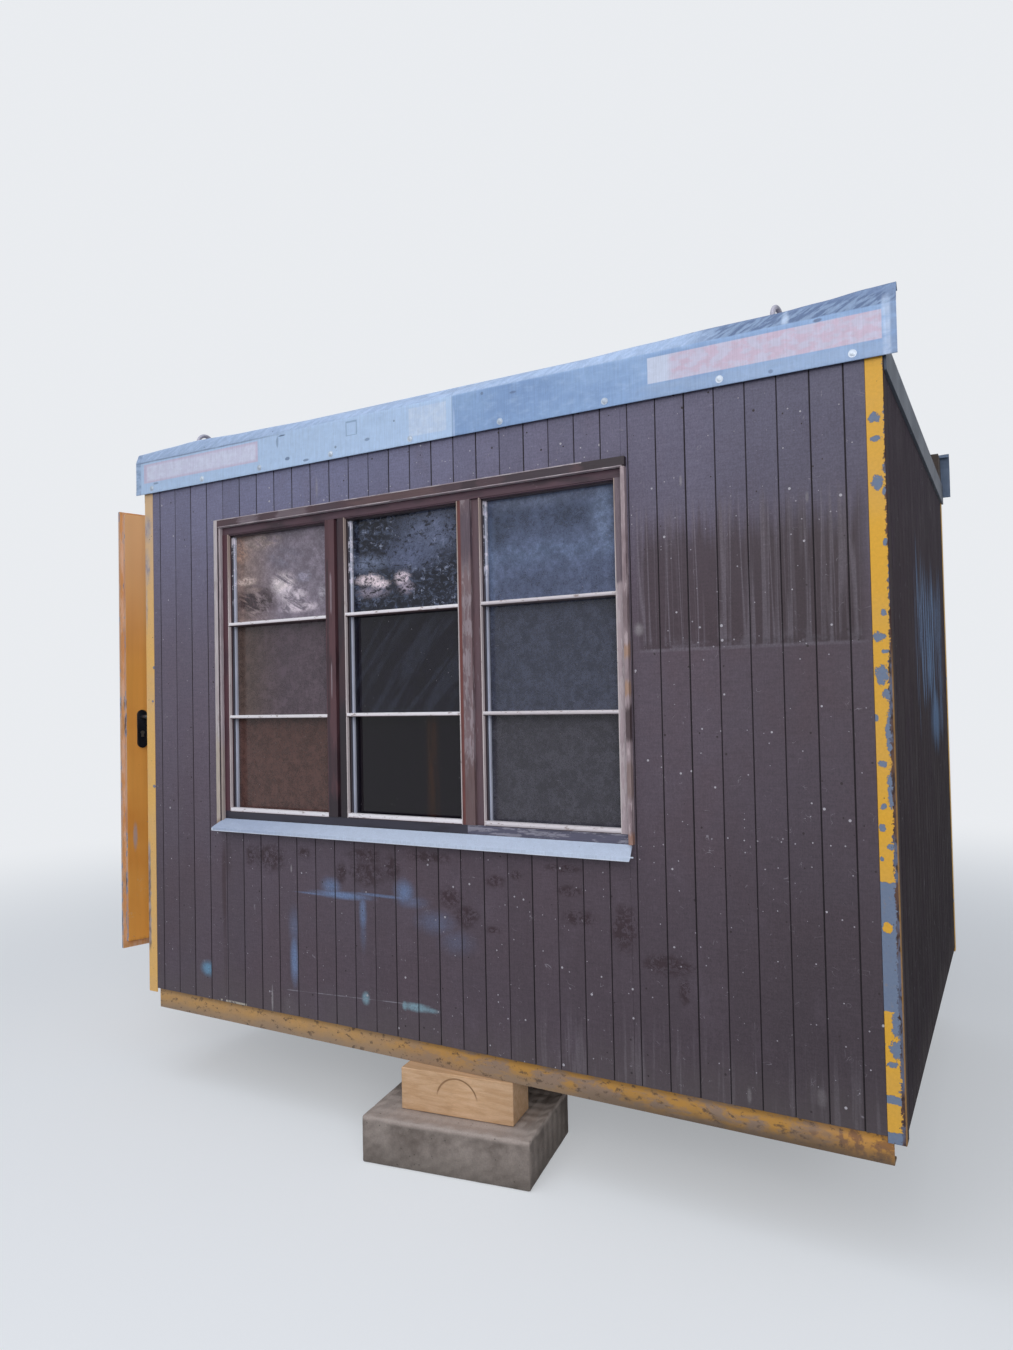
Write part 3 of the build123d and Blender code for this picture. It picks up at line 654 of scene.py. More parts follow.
@dataclass(frozen=True)
class ChippedSteel:
    """Yellow paint on steel, chipped to its blue-grey primer, with a worn corner and grime, and painted shade
    on the corner's flank and along a beam's top edge.
    """

    name: str
    spots: tuple[Smear, ...] = ()
    kept: tuple[Smear, ...] = ()
    bare: tuple[Band, ...] = ()
    chips: float = 0.7
    corner: float | None = None
    corner_top: float = 1.36
    paint: str = "dba538"
    faded: str = "c8a060"
    primer: str = "6f7c92"
    grime_low: float = -1.0
    grime_high: float = -1.0
    wear: float = 0.3
    pale_edge: float | None = None
    along: Along = Along.Z
    torn: float = 2.4
    rubs: tuple[Smear, ...] = ()

    def build(self) -> bpy.types.Material:
        """Return the material."""
        s = Shader(self.name)
        stretch = self.along.stretch(0.4 if self.along is Along.Z else 0.35)
        fine = s.noise(120, detail=3, rough=0.6)
        shape = s.noise(60, stretch, 4, 0.6, 0.3, 3)
        broad = s.noise(5, detail=3, shift=6)
        s.colour = s.mix(s.ease(broad, 0.35, 0.7, 0.0, self.wear), self.paint, self.faded)
        s.dim(s.ease(fine, 0.2, 0.8, 0.93, 1.05))
        chip = s.ease(shape, self.chips, self.chips + 0.01)
        torn = s.noise(95, (1, 1, 0.8), 4, 0.75, 0.2, 25)
        marks = [s.smear(replace(spot, soft=0.12, ragged=self.torn), torn) for spot in self.spots]
        marks += [s.band(s.scaled(shape, 0.02, s.v), b.low + 0.01, b.high + 0.01, b.soft)
                  for b in self.bare]
        chip = s.ease(s.either(chip, *marks), 0.4, 0.6)
        for spot in self.kept:
            chip = s.both(chip, s.ease(s.smear(replace(spot, ragged=1.2), torn), 0.6, 0.4))
        primer = s.mix(s.ease(fine, 0.35, 0.7, 0.0, 0.5), self.primer, "66738c")
        primer = s.mix(s.ease(s.noise(70, shift=9), 0.6, 0.7, 0.0, 0.6), primer, "857d80")
        rim = s.minus(s.ease(shape, self.chips - 0.03, self.chips), chip, clamp=True)
        s.lay(rim, "8a6a35", 0.5)
        s.lay(chip, primer)
        if self.corner is not None:
            # The corner's worn metal, with painted shade on its flank.
            s.lay(self.corner_strip(s, torn), self.corner_wear_and_shade(s, fine))
        if self.pale_edge is not None:
            strip = s.both(
                s.ease(s.scaled(shape, 0.02, s.u), self.pale_edge + 0.03, self.pale_edge + 0.022),
                s.band(s.v, 0.16, 0.68, 0.06),
            )
            rubbed_and_shaded = s.mix(s.ease(s.noise(60, (1, 1, 0.3), 3, shift=21), 0.42, 0.6), "a79c9e", "5e5a66")
            s.lay(strip, rubbed_and_shaded, 0.85)
            s.lay(s.ease(s.v, 1.55, 2.0, 0.0, 0.7), "cfb295")
            for rub in self.rubs:
                s.lay(s.smear(rub, torn), s.mix(s.ease(shape, 0.4, 0.6), "b4aaa8", "928b98"))
        s.lay(s.specks(70, 0.13, 0.25, shift=2), "5a4a38")
        if self.along is Along.X:
            blot = s.ease(s.noise(9, (0.8, 1, 2.0), 5, 0.7, 0.3, 52), 0.44, 0.6)
            far = s.ease(s.scaled(broad, 0.5, s.u), 1.2, 2.2, 0.12, 0.78)
            s.lay(far, s.mix(blot, "b28136", "7f6f69"))
            tip = s.ease(s.scaled(shape, 0.3, s.u), 2.92, 3.1, 0.0, 0.8)
            rust = s.ease(s.noise(26, detail=4, rough=0.65, shift=31), 0.46, 0.58)
            s.lay(tip, s.mix(rust, "cb9242", "8a5f3c"))
        if self.grime_high > self.grime_low:
            dirt = s.scaled(s.noise(16, (0.4, 1, 1), 4, 0.65, shift=12), 0.06, s.v)
            grime = s.ease(dirt, self.grime_high + 0.03, self.grime_low + 0.03, 0.0, 0.92)
            s.lay(grime, s.mix(s.ease(s.u, 1.6, 2.6), "957f6b", "5a4b3d"))
            stains = s.ease(s.noise(55, (0.6, 1, 1), 4, 0.7, shift=15), 0.55, 0.66, 0.0, 0.8)
            s.lay(stains, "54443a")
            # Painted shadow: darker along the top edge, under the boards.
            s.dim(s.ease(s.v, -0.004, 0.014, 1.0, 0.6))
        height = s.minus(s.both(fine, 0.12), chip)
        rough = s.ease(chip, 0.0, 1.0, 0.42, 0.66)
        if self.corner is not None:
            rough = s.math("MAXIMUM", rough, s.ease(s.u, self.corner - 0.004, self.corner - 0.002, 0.0, 0.95))
        return s.finish(rough, s.bump(height, 0.0007), 0.25)

    def corner_strip(self, s: Shader, shape: Socket) -> Socket:
        """Return the mask of the strip along the outer corner, wider low down."""
        reach = s.ease(s.v, self.corner_top + 0.06, self.corner_top - 0.06, 0.0045, 0.0115)
        reach = s.both(reach, s.ease(s.v, 2.15, 1.95))
        reach = s.scaled(shape, 0.034, s.minus(reach, 0.0175))
        line = s.plus(s.u, s.math("MAXIMUM", reach, 0.0016))
        return s.ease(line, self.corner - 0.001, self.corner)

    def corner_wear_and_shade(self, s: Shader, fine: Socket) -> Socket:
        """Return the corner's brown-grey metal with primer patches and an orange outer edge low down, with
        painted shade: the outer edge dark higher up and the flank dark.
        """
        patch = s.noise(22, (1, 1, 0.35), 3, 0.6, shift=18)
        colour = s.mix(s.ease(patch, 0.45, 0.6), "5a4238", "5c6378")
        colour = s.mix(s.ease(s.noise(90, (1, 1, 0.4), shift=19), 0.48, 0.62), colour, "3a2c2b")
        outer = s.ease(s.u, self.corner - 0.0035, self.corner - 0.0015)
        # Painted shade: the outer edge dark above its orange lower part.
        rubbed_and_shaded = s.mix(s.ease(s.v, 1.25, 1.45), "9c7748", "35282a")
        colour = s.mix(s.both(outer, 0.85), colour, rubbed_and_shaded)
        # Painted shade: the flank dark back from the corner.
        colour = s.mix(s.ease(s.d, 0.012, 0.02), colour, "33282b")
        return s.shade(colour, s.ease(fine, 0.2, 0.8, 0.9, 1.08))


@dataclass(frozen=True)
class DoorPaint:
    """Orange door enamel with scratches and pale chipped edges, darker at the foot, and with painted light
    away from its free edge.
    """

    name: str = "door_enamel"
    paint: str = "eaa34f"
    deep: str = "dd9242"

    def build(self) -> bpy.types.Material:
        """Return the material."""
        s = Shader(self.name)
        broad = s.noise(3, detail=3)
        fine = s.noise(160, detail=3, rough=0.6, shift=2)
        streak = s.noise(40, (1, 1, 0.05), 3, 0.6, shift=4)
        s.colour = s.mix(s.ease(broad, 0.35, 0.7), self.paint, self.deep)
        s.dim(s.ease(streak, 0.2, 0.8, 0.95, 1.04))
        top = s.ease(s.v, 1.35, 2.1, 0.0, 0.85)
        s.lay(top, "f3bf8e")
        swirl = s.off(s.noise(10, (1, 1, 2.5), 2, 0.5, 1.5, 7), 0.5)
        low = s.ease(s.v, 0.62, 0.25)
        scratch = s.both(s.ease(swirl, 0.01, 0.003), low, s.ease(s.noise(9, shift=3), 0.5, 0.6))
        s.lay(scratch, "dcc096", 0.7)
        s.lay(s.both(s.specks(55, 0.12, 0.2, shift=9), s.ease(s.v, 1.2, 0.3)), "8c8fa3")
        s.lay(s.specks(80, 0.1, 0.12, shift=1), "5a3d20")
        knock = s.smear(Smear(-0.18, 0.661, 0.05, 0.055, 0.75, 0.5, 0.8, 0.075, 110.0), fine)
        s.lay(knock, "b3a4a6")
        foot = s.ease(s.scaled(streak, 0.05, s.v), 0.225, 0.185, 0.0, 0.8)
        s.lay(foot, "4b3a2c")
        # Painted light: lighter away from the free edge, where the cabin's corner shades the leaf.
        s.dim(s.ease(s.d, 0.06, 0.14, 1.0, 1.16))
        depth = s.scaled(s.u, 0.9659, s.scaled(s.d, -0.2588, -1.2089))
        lip = s.both(s.band(depth, -1.434, -1.417, 0.004), s.ease(s.d, 0.2, 0.12))
        chafed = s.noise(30, (1, 1, 0.3), 4, 0.7, shift=11)
        s.lay(lip, s.mix(s.ease(chafed, 0.42, 0.6), "d39a66", "dcb294"))
        return s.finish(s.ease(fine, 0.3, 0.7, 0.34, 0.46), s.bump(broad, 0.003))


@dataclass(frozen=True)
class EdgePaint:
    """The worn edge of the leaf: pale paint worn by rubbing, with chips to the primer."""

    name: str = "door_edge"

    def build(self) -> bpy.types.Material:
        """Return the material."""
        s = Shader(self.name)
        shape = s.noise(48, (1, 1, 0.35), 4, 0.6, 0.3)
        rubbed_and_shaded = s.noise(16, (1, 1, 0.3), 3, 0.6, shift=5)
        s.colour = s.mix(s.ease(rubbed_and_shaded, 0.35, 0.62), "c29272", "d2ac90")
        low = s.ease(s.v, 1.0, 0.3, 0.0, 0.08)
        hit = s.both(s.band(s.v, 1.08, 1.36, 0.08), 0.12)
        over = s.plus(shape, s.plus(low, hit))
        s.lay(s.ease(over, 0.6, 0.62), "8c93a8")
        s.lay(s.ease(over, 0.7, 0.72), "6b5a55")
        return s.finish(0.55, s.bump(shape, 0.0005), 0.4)


@dataclass(frozen=True)
class Zinc:
    """Weathered zinc-coated sheet with spangle, blotches and paler rectangles."""

    name: str
    fascia: bool = True
    base: str = "8aa5ca"
    dull: str = "7c97bf"
    pale: str = "a9bfdd"
    far: str = ""
    reach: Pair = (0.55, 1.25)

    def build(self) -> bpy.types.Material:
        """Return the material."""
        s = Shader(self.name)
        spangle = s.cells(75)[1]
        cloud = s.noise(3.2, (0.6, 1, 1), 4, 0.6, 0.4)
        fine = s.noise(45, (0.4, 1, 1), 4, 0.6, shift=3)
        brushed = s.noise(230, (1, 1, 0.04), 3, 0.6, shift=14)
        s.colour = s.mix(s.ease(cloud, 0.35, 0.66), self.base, self.dull)
        s.lay(s.ease(fine, 0.45, 0.75, 0.0, 0.35), self.pale)
        # Another colour towards the right; on the back sheet this is painted shade at its end.
        if self.far:
            s.lay(s.ease(s.u, *self.reach, 0.0, 0.85), self.far)
        metal: object = 0.12
        if self.fascia:
            covered = self.front(s, fine)
            metal = s.scaled(covered, -0.12, 0.12)
        s.dim(s.scaled(spangle, 0.06, 0.97))
        s.dim(s.ease(brushed, 0.3, 0.7, 0.94, 1.05))
        spots = s.specks(18, 0.1, 0.3, shift=6)
        s.lay(spots, "5c6a80", 0.6)
        rough = s.ease(cloud, 0.3, 0.7, 0.42, 0.56)
        normal = s.bump(s.plus(s.both(cloud, 2.0), s.both(fine, 0.3)), 0.003)
        return s.finish(rough, normal, 0.4, metal)

    def front(self, s: Shader, fine: Socket) -> Socket:
        """Lay the front sheet's crown, creases and bare places, with painted reflection and shade on the
        crown, in the crease and at the ends, and return the mask of the bare places.
        """
        worn = s.noise(30, (1, 1, 1.5), 4, 0.7, shift=8)
        s.lay(s.ease(s.u, 1.657, 1.65, 0.0, 0.85), s.mix(worn, "afc6e4", "bbd0ea"))
        foot = s.both(s.ease(s.v, 2.262, 2.24), s.ease(s.u, 2.3, 2.45), s.ease(fine, 0.2, 0.6, 0.4, 0.8))
        s.lay(foot, "8fa3c1")
        # Painted reflection and shade: the crown paler where it leans back to the sky, darker at its right
        # end.
        rim = s.scaled(s.noise(6, (1, 0, 0), 2), 0.006, s.v)
        crown = s.ease(rim, 2.353, 2.359)
        right = s.ease(s.u, 2.5, 2.66)
        streak = s.noise(16, (1, 1, 5), 3, 0.6, turn=0.5)
        pale = s.mix(s.ease(streak, 0.4, 0.62), "95a9c8", "a3b7d5")
        rubbed_and_shaded = s.mix(s.ease(streak, 0.42, 0.6), "56698b", "7e93b1")
        s.lay(crown, s.mix(right, pale, rubbed_and_shaded))
        # Painted shade: the top of the crown darker at its right end.
        dark_top = s.both(right, s.ease(rim, 2.388, 2.4), s.ease(fine, 0.2, 0.7, 0.3, 0.8))
        s.lay(dark_top, "6c80a3")
        # Painted shade: a dark line along the crease on the left.
        crease = s.both(s.band(rim, 2.346, 2.357, 0.004), s.ease(s.u, 0.95, 0.6),
                        s.ease(fine, 0.2, 0.6, 0.5, 0.8))
        s.lay(crease, "6f7c98")
        # Painted shade: darker at both ends of the sheet.
        end = s.either(s.band(s.u, -0.05, -0.004, 0.008), s.band(s.u, 3.098, 3.14, 0.006))
        s.lay(s.both(end, s.ease(fine, 0.35, 0.6, 0.2, 0.75)), "7488a8")
        # Painted highlight: a pale strip down the folded right end.
        tail = s.both(s.band(s.u, 3.088, 3.118, 0.01), s.ease(s.v, 2.39, 2.35),
                      s.ease(fine, 0.3, 0.6, 0.2, 0.7))
        s.lay(tail, "bccbe3")
        run = s.both(s.smear(Smear(2.825, 2.365, 0.01, 0.03, 0.7, 0.5, 0.7), worn), crown)
        s.lay(run, "b9c9e0")
        marks = smears(
            (0.836, 2.34, 0.018, 0.003), (0.812, 2.318, 0.006, 0.022, 0.5),
            (0.864, 2.242, 0.013, 0.007, 0.8), (0.962, 2.222, 0.014, 0.005, 0.7),
            (1.268, 2.256, 0.012, 0.006, 0.6), (1.902, 2.32, 0.012, 0.004, 0.7),
            (2.918, 2.344, 0.012, 0.005, 0.9), (2.78, 2.22, 0.007, 0.006, 0.7),
            (0.09, 2.246, 0.016, 0.004, 0.6),
        )
        s.lay(s.patches(marks, worn), "5f708e")
        rub = s.ease(worn, 0.38, 0.62)
        edge = s.minus(s.panel(0.358, 2.296, 0.344, 0.04, 0.006), s.panel(0.362, 2.296, 0.322, 0.026, 0.014))
        old_pink = s.panel(0.358, 2.296, 0.344, 0.04, 0.004)
        pink = s.mix(rub, "cecce0", "d5d6e8")
        pink = s.mix(s.both(edge, 0.8), pink, "c3b3ca")
        s.lay(old_pink, pink, 0.9)
        old_red = s.panel(2.742, 2.296, 0.347, 0.04, 0.003)
        blot = s.noise(42, (0.6, 1, 1), 3, 0.6, shift=51)
        red = s.mix(s.ease(blot, 0.4, 0.6), "c9c3d6", "ccb6c8")
        red = s.mix(s.ease(s.u, 2.48, 2.455), red, "c9cfe1")
        s.lay(old_red, red, 0.92)
        white = s.panel(1.544, 2.286, 0.081, 0.051, 0.003)
        s.lay(white, s.mix(rub, "b9cae3", "c3d1e6"), 0.95)
        frame_mark = s.minus(s.panel(1.192, 2.312, 0.027, 0.028), s.panel(1.192, 2.31, 0.021, 0.022, 0.003))
        s.lay(frame_mark, "6f86a4", 0.55)
        seam = s.band(s.u, 1.65, 1.654, 0.0012)
        s.lay(seam, "6b7f9f", 0.5)
        lip = s.both(s.band(s.u, 1.655, 1.664, 0.003), s.ease(s.v, 2.32, 2.28))
        s.lay(lip, "b3c5e0", 0.6)
        return s.either(old_pink, old_red, white)


@dataclass(frozen=True)
class PeeledTimber:
    """Window timber with a brown stain that has peeled to bare or grey wood."""

    name: str
    stain: str = "5a3c36"
    bare: str = "a89a98"
    worn: float = 0.58
    dark: str = "2f2326"
    along: Along = Along.Z
    redden: float = 0.15
    zones: tuple[Zone, ...] = ()

    def build(self) -> bpy.types.Material:
        """Return the material."""
        s = Shader(self.name)
        slow = self.along.stretch(0.2)
        grain = s.noise(500, self.along.stretch(0.03), 3, 0.6)
        flakes = s.noise(70, slow, 4, 0.65, 0.2, 4)
        broad = s.noise(5, detail=3, shift=2)
        s.colour = s.mix(s.ease(broad, 0.35, 0.65, 0.0, self.redden), self.stain, "6b3c38")
        s.lay(s.ease(s.noise(24, slow, 3, shift=6), 0.5, 0.7, 0.0, 0.8), self.dark)
        over = s.plus(flakes, s.scaled(broad, 0.25, -0.125))
        peeled = s.ease(over, self.worn, self.worn + 0.05)
        wood = s.shade(self.bare, s.ease(grain, 0.25, 0.75, 0.72, 1.12))
        s.colour = s.mix(peeled, s.shade(s.colour, s.ease(grain, 0.2, 0.8, 0.82, 1.12)), wood)
        for zone in self.zones:
            edge = s.scaled(flakes, zone.soft * 2, s.v)
            reach = s.band(edge, zone.low + zone.soft, zone.high + zone.soft, zone.soft)
            if zone.start > -8:
                across = s.scaled(flakes, zone.side * 3, s.u)
                shift = zone.side * 1.5
                reach = s.both(reach, s.band(across, zone.start + shift, zone.end + shift, zone.side))
            tint = s.shade(zone.colour, s.ease(grain, 0.25, 0.75, 0.8, 1.14))
            s.lay(s.both(reach, zone.strength), tint)
        height = s.plus(s.both(grain, 0.5), s.both(peeled, -0.6))
        return s.finish(s.ease(peeled, 0.0, 1.0, 0.45, 0.75), s.bump(height, 0.0008), 0.4)


@dataclass(frozen=True)
class BeadPaint:
    """White paint on the glazing beads and sashes, crazed and flaking, with painted shade towards the front
    if asked.
    """

    name: str = "bead_paint"
    paint: str = "c3b6ba"
    bare: str = "8a7370"
    along: Along = Along.Z
    keep: float = 0.66
    dark_to: float = -1.0
    top: str = ""

    def build(self) -> bpy.types.Material:
        """Return the material."""
        s = Shader(self.name)
        flakes = s.noise(150, self.along.stretch(0.3), 4, 0.65)
        broad = s.noise(6, detail=3, shift=2)
        s.colour = s.shade(self.paint, s.ease(broad, 0.3, 0.7, 0.88, 1.04))
        over = s.plus(flakes, s.scaled(broad, 0.2, -0.1))
        gone = s.ease(over, self.keep, self.keep + 0.03)
        s.lay(gone, self.bare)
        if self.top:
            s.lay(s.ease(s.v, 1.6, 1.9, 0.0, 0.8), self.top)
        if self.dark_to > 0:
            blot = s.both(s.ease(s.v, 1.66, 1.74),
                          s.ease(s.noise(30, detail=4, rough=0.7, shift=8), 0.5, 0.56))
            s.lay(blot, "e4dfea")
            # Painted shade: the reveal dark towards its front, beside the bead.
            front = s.both(s.ease(s.d, self.dark_to + 0.001, self.dark_to), s.minus(1.0, blot))
            s.lay(front, "4b4a54")
        return s.finish(0.6, s.bump(s.minus(1.0, gone), 0.0006), 0.3)


@dataclass(frozen=True)
class BarPaint:
    """The level bars and lower beads: white on top, worn below, and dark underneath as painted shade."""

    name: str
    first: float
    step: float
    top: str = "eee9ec"
    front: str = "dfd8dc"
    under: str = "4a3a3c"

    def build(self) -> bpy.types.Material:
        """Return the material."""
        s = Shader(self.name)
        flakes = s.noise(120, (0.3, 1, 1), 4, 0.65)
        turns = s.over(s.minus(s.v, self.first), self.step)
        aside = s.minus(s.math("FRACT", s.plus(turns, 0.5)), 0.5)
        rise = s.scaled(aside, self.step, s.both(flakes, 0.0012))
        s.colour = s.mix(s.ease(rise, -0.001, 0.003), self.front, self.top)
        gone = s.ease(flakes, 0.6, 0.64, 0.0, 0.8)
        s.lay(gone, "94807c")
        # Painted shade: the lowest part of each bar dark, as its underside in shade.
        s.lay(s.ease(rise, -0.0028, -0.0046), self.under)
        return s.finish(0.6, s.bump(s.minus(1.0, gone), 0.0005), 0.3)


ReflectionPatch = tuple[float, float, float, float, float, float, float, str, float]


@dataclass(frozen=True)
class DustyGlassWithReflections:
    """Window glass with a dusty film and painted reflections of sky, clouds and trees, different in each
    light and thickest in the upper ones.
    """

    name: str = "dusty_glass_painted_reflections"
    first_light: tuple[ReflectionPatch, ...] = (
        (0.62, 1.689, 0.12, 0.07, 1.0, 0.5, 1.6, "5d4d54", 0.45),
        (0.51, 1.909, 0.07, 0.05, 1.0, 0.6, 1.6, "c9a390", 0.72),
        (0.77, 1.754, 0.07, 0.048, 1.0, 0.4, 2.0, "e2d5d8", 0.88),
        (0.82, 1.699, 0.085, 0.04, 1.0, 0.4, 2.0, "dccfd8", 0.84),
        (0.86, 1.649, 0.11, 0.022, 1.0, 0.4, 2.2, "dccfd8", 0.8),
        (0.885, 1.774, 0.04, 0.024, 1.0, 0.4, 2.0, "b9b3c6", 0.6),
        (0.562, 1.777, 0.062, 0.018, 1.0, 0.4, 2.0, "e4cec6", 0.8),
        (0.6, 1.737, 0.05, 0.012, 1.0, 0.4, 2.0, "b9a4a0", 0.45),
        (0.65, 1.939, 0.11, 0.034, 1.0, 0.4, 2.0, "c0aeaa", 0.6),
        (0.78, 1.859, 0.09, 0.04, 1.0, 0.5, 2.0, "938c9c", 0.6),
        (0.98, 1.699, 0.018, 0.03, 1.0, 0.5, 1.6, "c9c3cc", 0.6),
    )
    second_light: tuple[ReflectionPatch, ...] = (
        (1.502, 1.889, 0.14, 0.09, 1.0, 0.6, 4.5, "7b84a2", 0.55),
        (1.41, 1.809, 0.11, 0.055, 1.0, 0.6, 4.5, "7780a0", 0.55),
        (1.212, 1.794, 0.085, 0.03, 1.0, 0.6, 4.0, "8c97b4", 0.55),
        (1.217, 1.732, 0.066, 0.022, 1.0, 0.3, 3.4, "e9d8df", 0.92),
        (1.267, 1.711, 0.048, 0.018, 1.0, 0.3, 3.4, "e9d8df", 0.9),
        (1.232, 1.682, 0.07, 0.02, 1.0, 0.6, 4.5, "b3a9bb", 0.6),
        (1.374, 1.726, 0.036, 0.028, 1.0, 0.3, 3.6, "e0d0da", 0.88),
        (1.392, 1.689, 0.032, 0.024, 1.0, 0.5, 4.5, "bcafc0", 0.66),
    )
    third_light: tuple[ReflectionPatch, ...] = (
        (1.82, 1.905, 0.11, 0.06, 1.0, 0.9, 4.0, "566079", 0.55),
        (2.06, 1.89, 0.09, 0.05, 1.0, 0.9, 4.0, "566079", 0.55),
        (1.775, 1.85, 0.05, 0.04, 1.0, 0.9, 4.0, "4b5469", 0.55),
        (2.2, 1.885, 0.04, 0.1, 0.8, 0.9, 2.0, "8a9bbb", 0.56),
        (1.96, 1.65, 0.26, 0.03, 0.7, 0.9, 2.5, "5f6781", 0.55),
        (1.94, 1.962, 0.26, 0.034, 0.9, 0.6, 2.5, "7f8aa6", 0.58),
        (1.765, 1.72, 0.018, 0.14, 0.7, 0.9, 2.5, "8798b9", 0.56),
    )
    edges: tuple[tuple[float, str], ...] = ((0.506, "6b5a58"), (1.134, "3f404d"), (1.747, "565867"))
    film: tuple[str, float] = ("24222f", 0.5)

    def build(self) -> bpy.types.Material:
        """Return the material."""
        s = Shader(self.name)
        wisp = s.noise(12, (0.8, 1, 2.6), 6, 0.75, 0.9, 12, -0.5)
        crumb = s.noise(34, (1, 1, 1.5), 6, 0.8, 0.5, 15)
        runs = s.noise(46, (1, 1, 0.06), 3, 0.6, shift=3)
        speck = s.noise(210, detail=3, rough=0.75, shift=5)
        mottle = s.noise(30, detail=4, rough=0.8, shift=44)
        first = s.ease(s.u, 1.09, 1.07)
        third = s.ease(s.u, 1.7, 1.72)
        second = s.minus(s.minus(1.0, first), third)
        upper, lower = s.ease(s.v, 1.59, 1.61), s.ease(s.v, 1.22, 1.2)
        drift = s.noise(9, (0.3, 1, 2.0), 3, 0.6, 0.5, 21, 0.9)
        rust = s.both(second, lower, s.band(s.u, 1.462, 1.535, 0.03), s.ease(runs, 0.3, 0.6))
        side = s.ease(s.scaled(mottle, 0.1, s.u), 0.84, 0.56)
        pale = s.both(third, s.band(s.v, 1.7, 1.84, 0.09), s.ease(crumb, 0.36, 0.56))
        # Painted reflections of sky, clouds and trees, with glints, laid with the dusty film in each light.
        layers = [
            (s.both(second, s.ease(drift, 0.44, 0.58)), "353746", 0.5),
            (s.both(second, lower), "1b1620", 0.5),
            (rust, "462a1c", 0.5),
            (s.both(second, upper), "272a38", 0.55),
            (s.both(second, upper, s.ease(crumb, 0.48, 0.6)), "5f6880", 0.55),
            # Painted glints: bright flecks in the upper middle light.
            (s.both(second, upper, s.ease(mottle, 0.6, 0.68, 0.0, 0.8)), "a9b1c9", 0.55),
            *self.reflection_blots(s, self.second_light, crumb, 0.4, 0.52),
            (first, "6e5f68", 0.6),
            (s.both(first, side), "705e58", 0.6),
            (s.both(first, lower), "6c504b", 0.6),
            (s.both(first, upper), "9a8f9d", 0.6),
            (s.both(first, upper, side), "a8928c", 0.6),
            *self.reflection_blots(s, self.first_light, wisp, 0.42, 0.58),
            (third, "5a5e70", 0.5),
            (s.both(third, lower), "5c5a64", 0.5),
            # Painted reflection of the sky: bluish in the upper right light.
            (s.both(third, upper), "6f7a99", 0.55),
            (pale, "7e8fb0", 0.58),
            *self.reflection_blots(s, self.third_light, crumb, 0.3, 0.5),
        ]
        for start, tint in self.edges:
            rim = s.both(s.band(s.u, start - 0.02, start + 0.02, 0.02), s.ease(s.v, 1.75, 1.6, 0.2, 1.0))
            layers.append((rim, tint, 0.5))
        # The film's thickness takes in the painted reflections as well as the dusty haze.
        s.colour, dust_and_reflection = self.film
        for mask, tint, amount in layers:
            dust_and_reflection = s.scaled(mask, s.minus(amount, dust_and_reflection), dust_and_reflection)
            s.lay(mask, tint)
        dust_and_reflection = s.both(dust_and_reflection, s.ease(mottle, 0.34, 0.66, 0.88, 1.12))
        s.dim(s.ease(mottle, 0.34, 0.66, 0.86, 1.16))
        dust_and_reflection = s.both(dust_and_reflection, s.ease(speck, 0.3, 0.7, 0.8, 1.2))
        s.lay(s.specks(75, 0.1, 0.25, shift=33), "b5aeb6")
        s.feed(s.surface.inputs["Transmission Weight"], s.minus(1.0, dust_and_reflection, clamp=True))
        s.surface.inputs["IOR"].default_value = 1.45
        return s.finish(0.04, None, 0.2)

    def reflection_blots(self, s: Shader, rows: tuple[ReflectionPatch, ...], pattern: Socket, low: float,
              high: float) -> list[tuple[Socket, str, float]]:
        """Return the layers of one light's patches of painted reflection.

        Args:
            s: the shader.
            rows: each patch's place and edge, then its colour and its thickness, 1 for opaque.
            pattern: noise that breaks them up.
            low: where they begin in it.
            high: where they are whole.
        Returns:
            For each its mask, colour and thickness.
        """
        return [
            (s.both(s.smear(Smear(*place), pattern), s.ease(pattern, low, high)), colour, amount)
            for *place, colour, amount in rows
        ]


@dataclass(frozen=True)
class Timber:
    """Plain timber with grain along one axis."""

    name: str
    light: str
    dark: str
    along: Along = Along.X
    rings: float = 90.0
    rough: float = 0.7
    saw_mark: bool = False

    def build(self) -> bpy.types.Material:
        """Return the material."""
        s = Shader(self.name)
        stretch = self.along.stretch(0.05)
        grain = s.noise(self.rings, stretch, 4, 0.6, 0.4)
        fine = s.noise(700, stretch, 2, 0.6, shift=3)
        broad = s.noise(4, detail=3, shift=5)
        s.colour = s.mix(s.ease(grain, 0.3, 0.7), self.light, self.dark)
        s.dim(s.ease(broad, 0.3, 0.7, 0.9, 1.08))
        s.dim(s.ease(fine, 0.25, 0.75, 0.93, 1.05))
        height = s.plus(grain, s.both(fine, 0.4))
        if self.saw_mark:
            centre = Vector((1.628, 0.0, -0.155))
            aside = s.vector("MULTIPLY", s.vector("SUBTRACT", s.place, centre), (1.0, 0.0, 1.0))
            ring = s.off(s.vector("LENGTH", aside), 0.078)
            upper = s.ease(s.v, -0.15, -0.12)
            mark = s.both(s.ease(ring, 0.0042, 0.0012), upper, s.ease(s.d, 0.05, 0.02))
            saw = s.noise(40, (0.15, 1, 1), 4, 0.7, shift=9)
            s.lay(s.ease(saw, 0.56, 0.72, 0.0, 0.35), "a5825f")
            s.lay(mark, "7d5a3a", 0.75)
            knot_distance, knot_chance = s.cells(9, (0.6, 1, 1), 4)
            knot = s.both(s.ease(knot_distance, 0.16, 0.08), s.math("LESS_THAN", knot_chance, 0.3))
            s.lay(knot, "8d6742", 0.6)
            height = s.minus(height, s.both(mark, 2.0))
        return s.finish(self.rough, s.bump(height, 0.0008), 0.3)


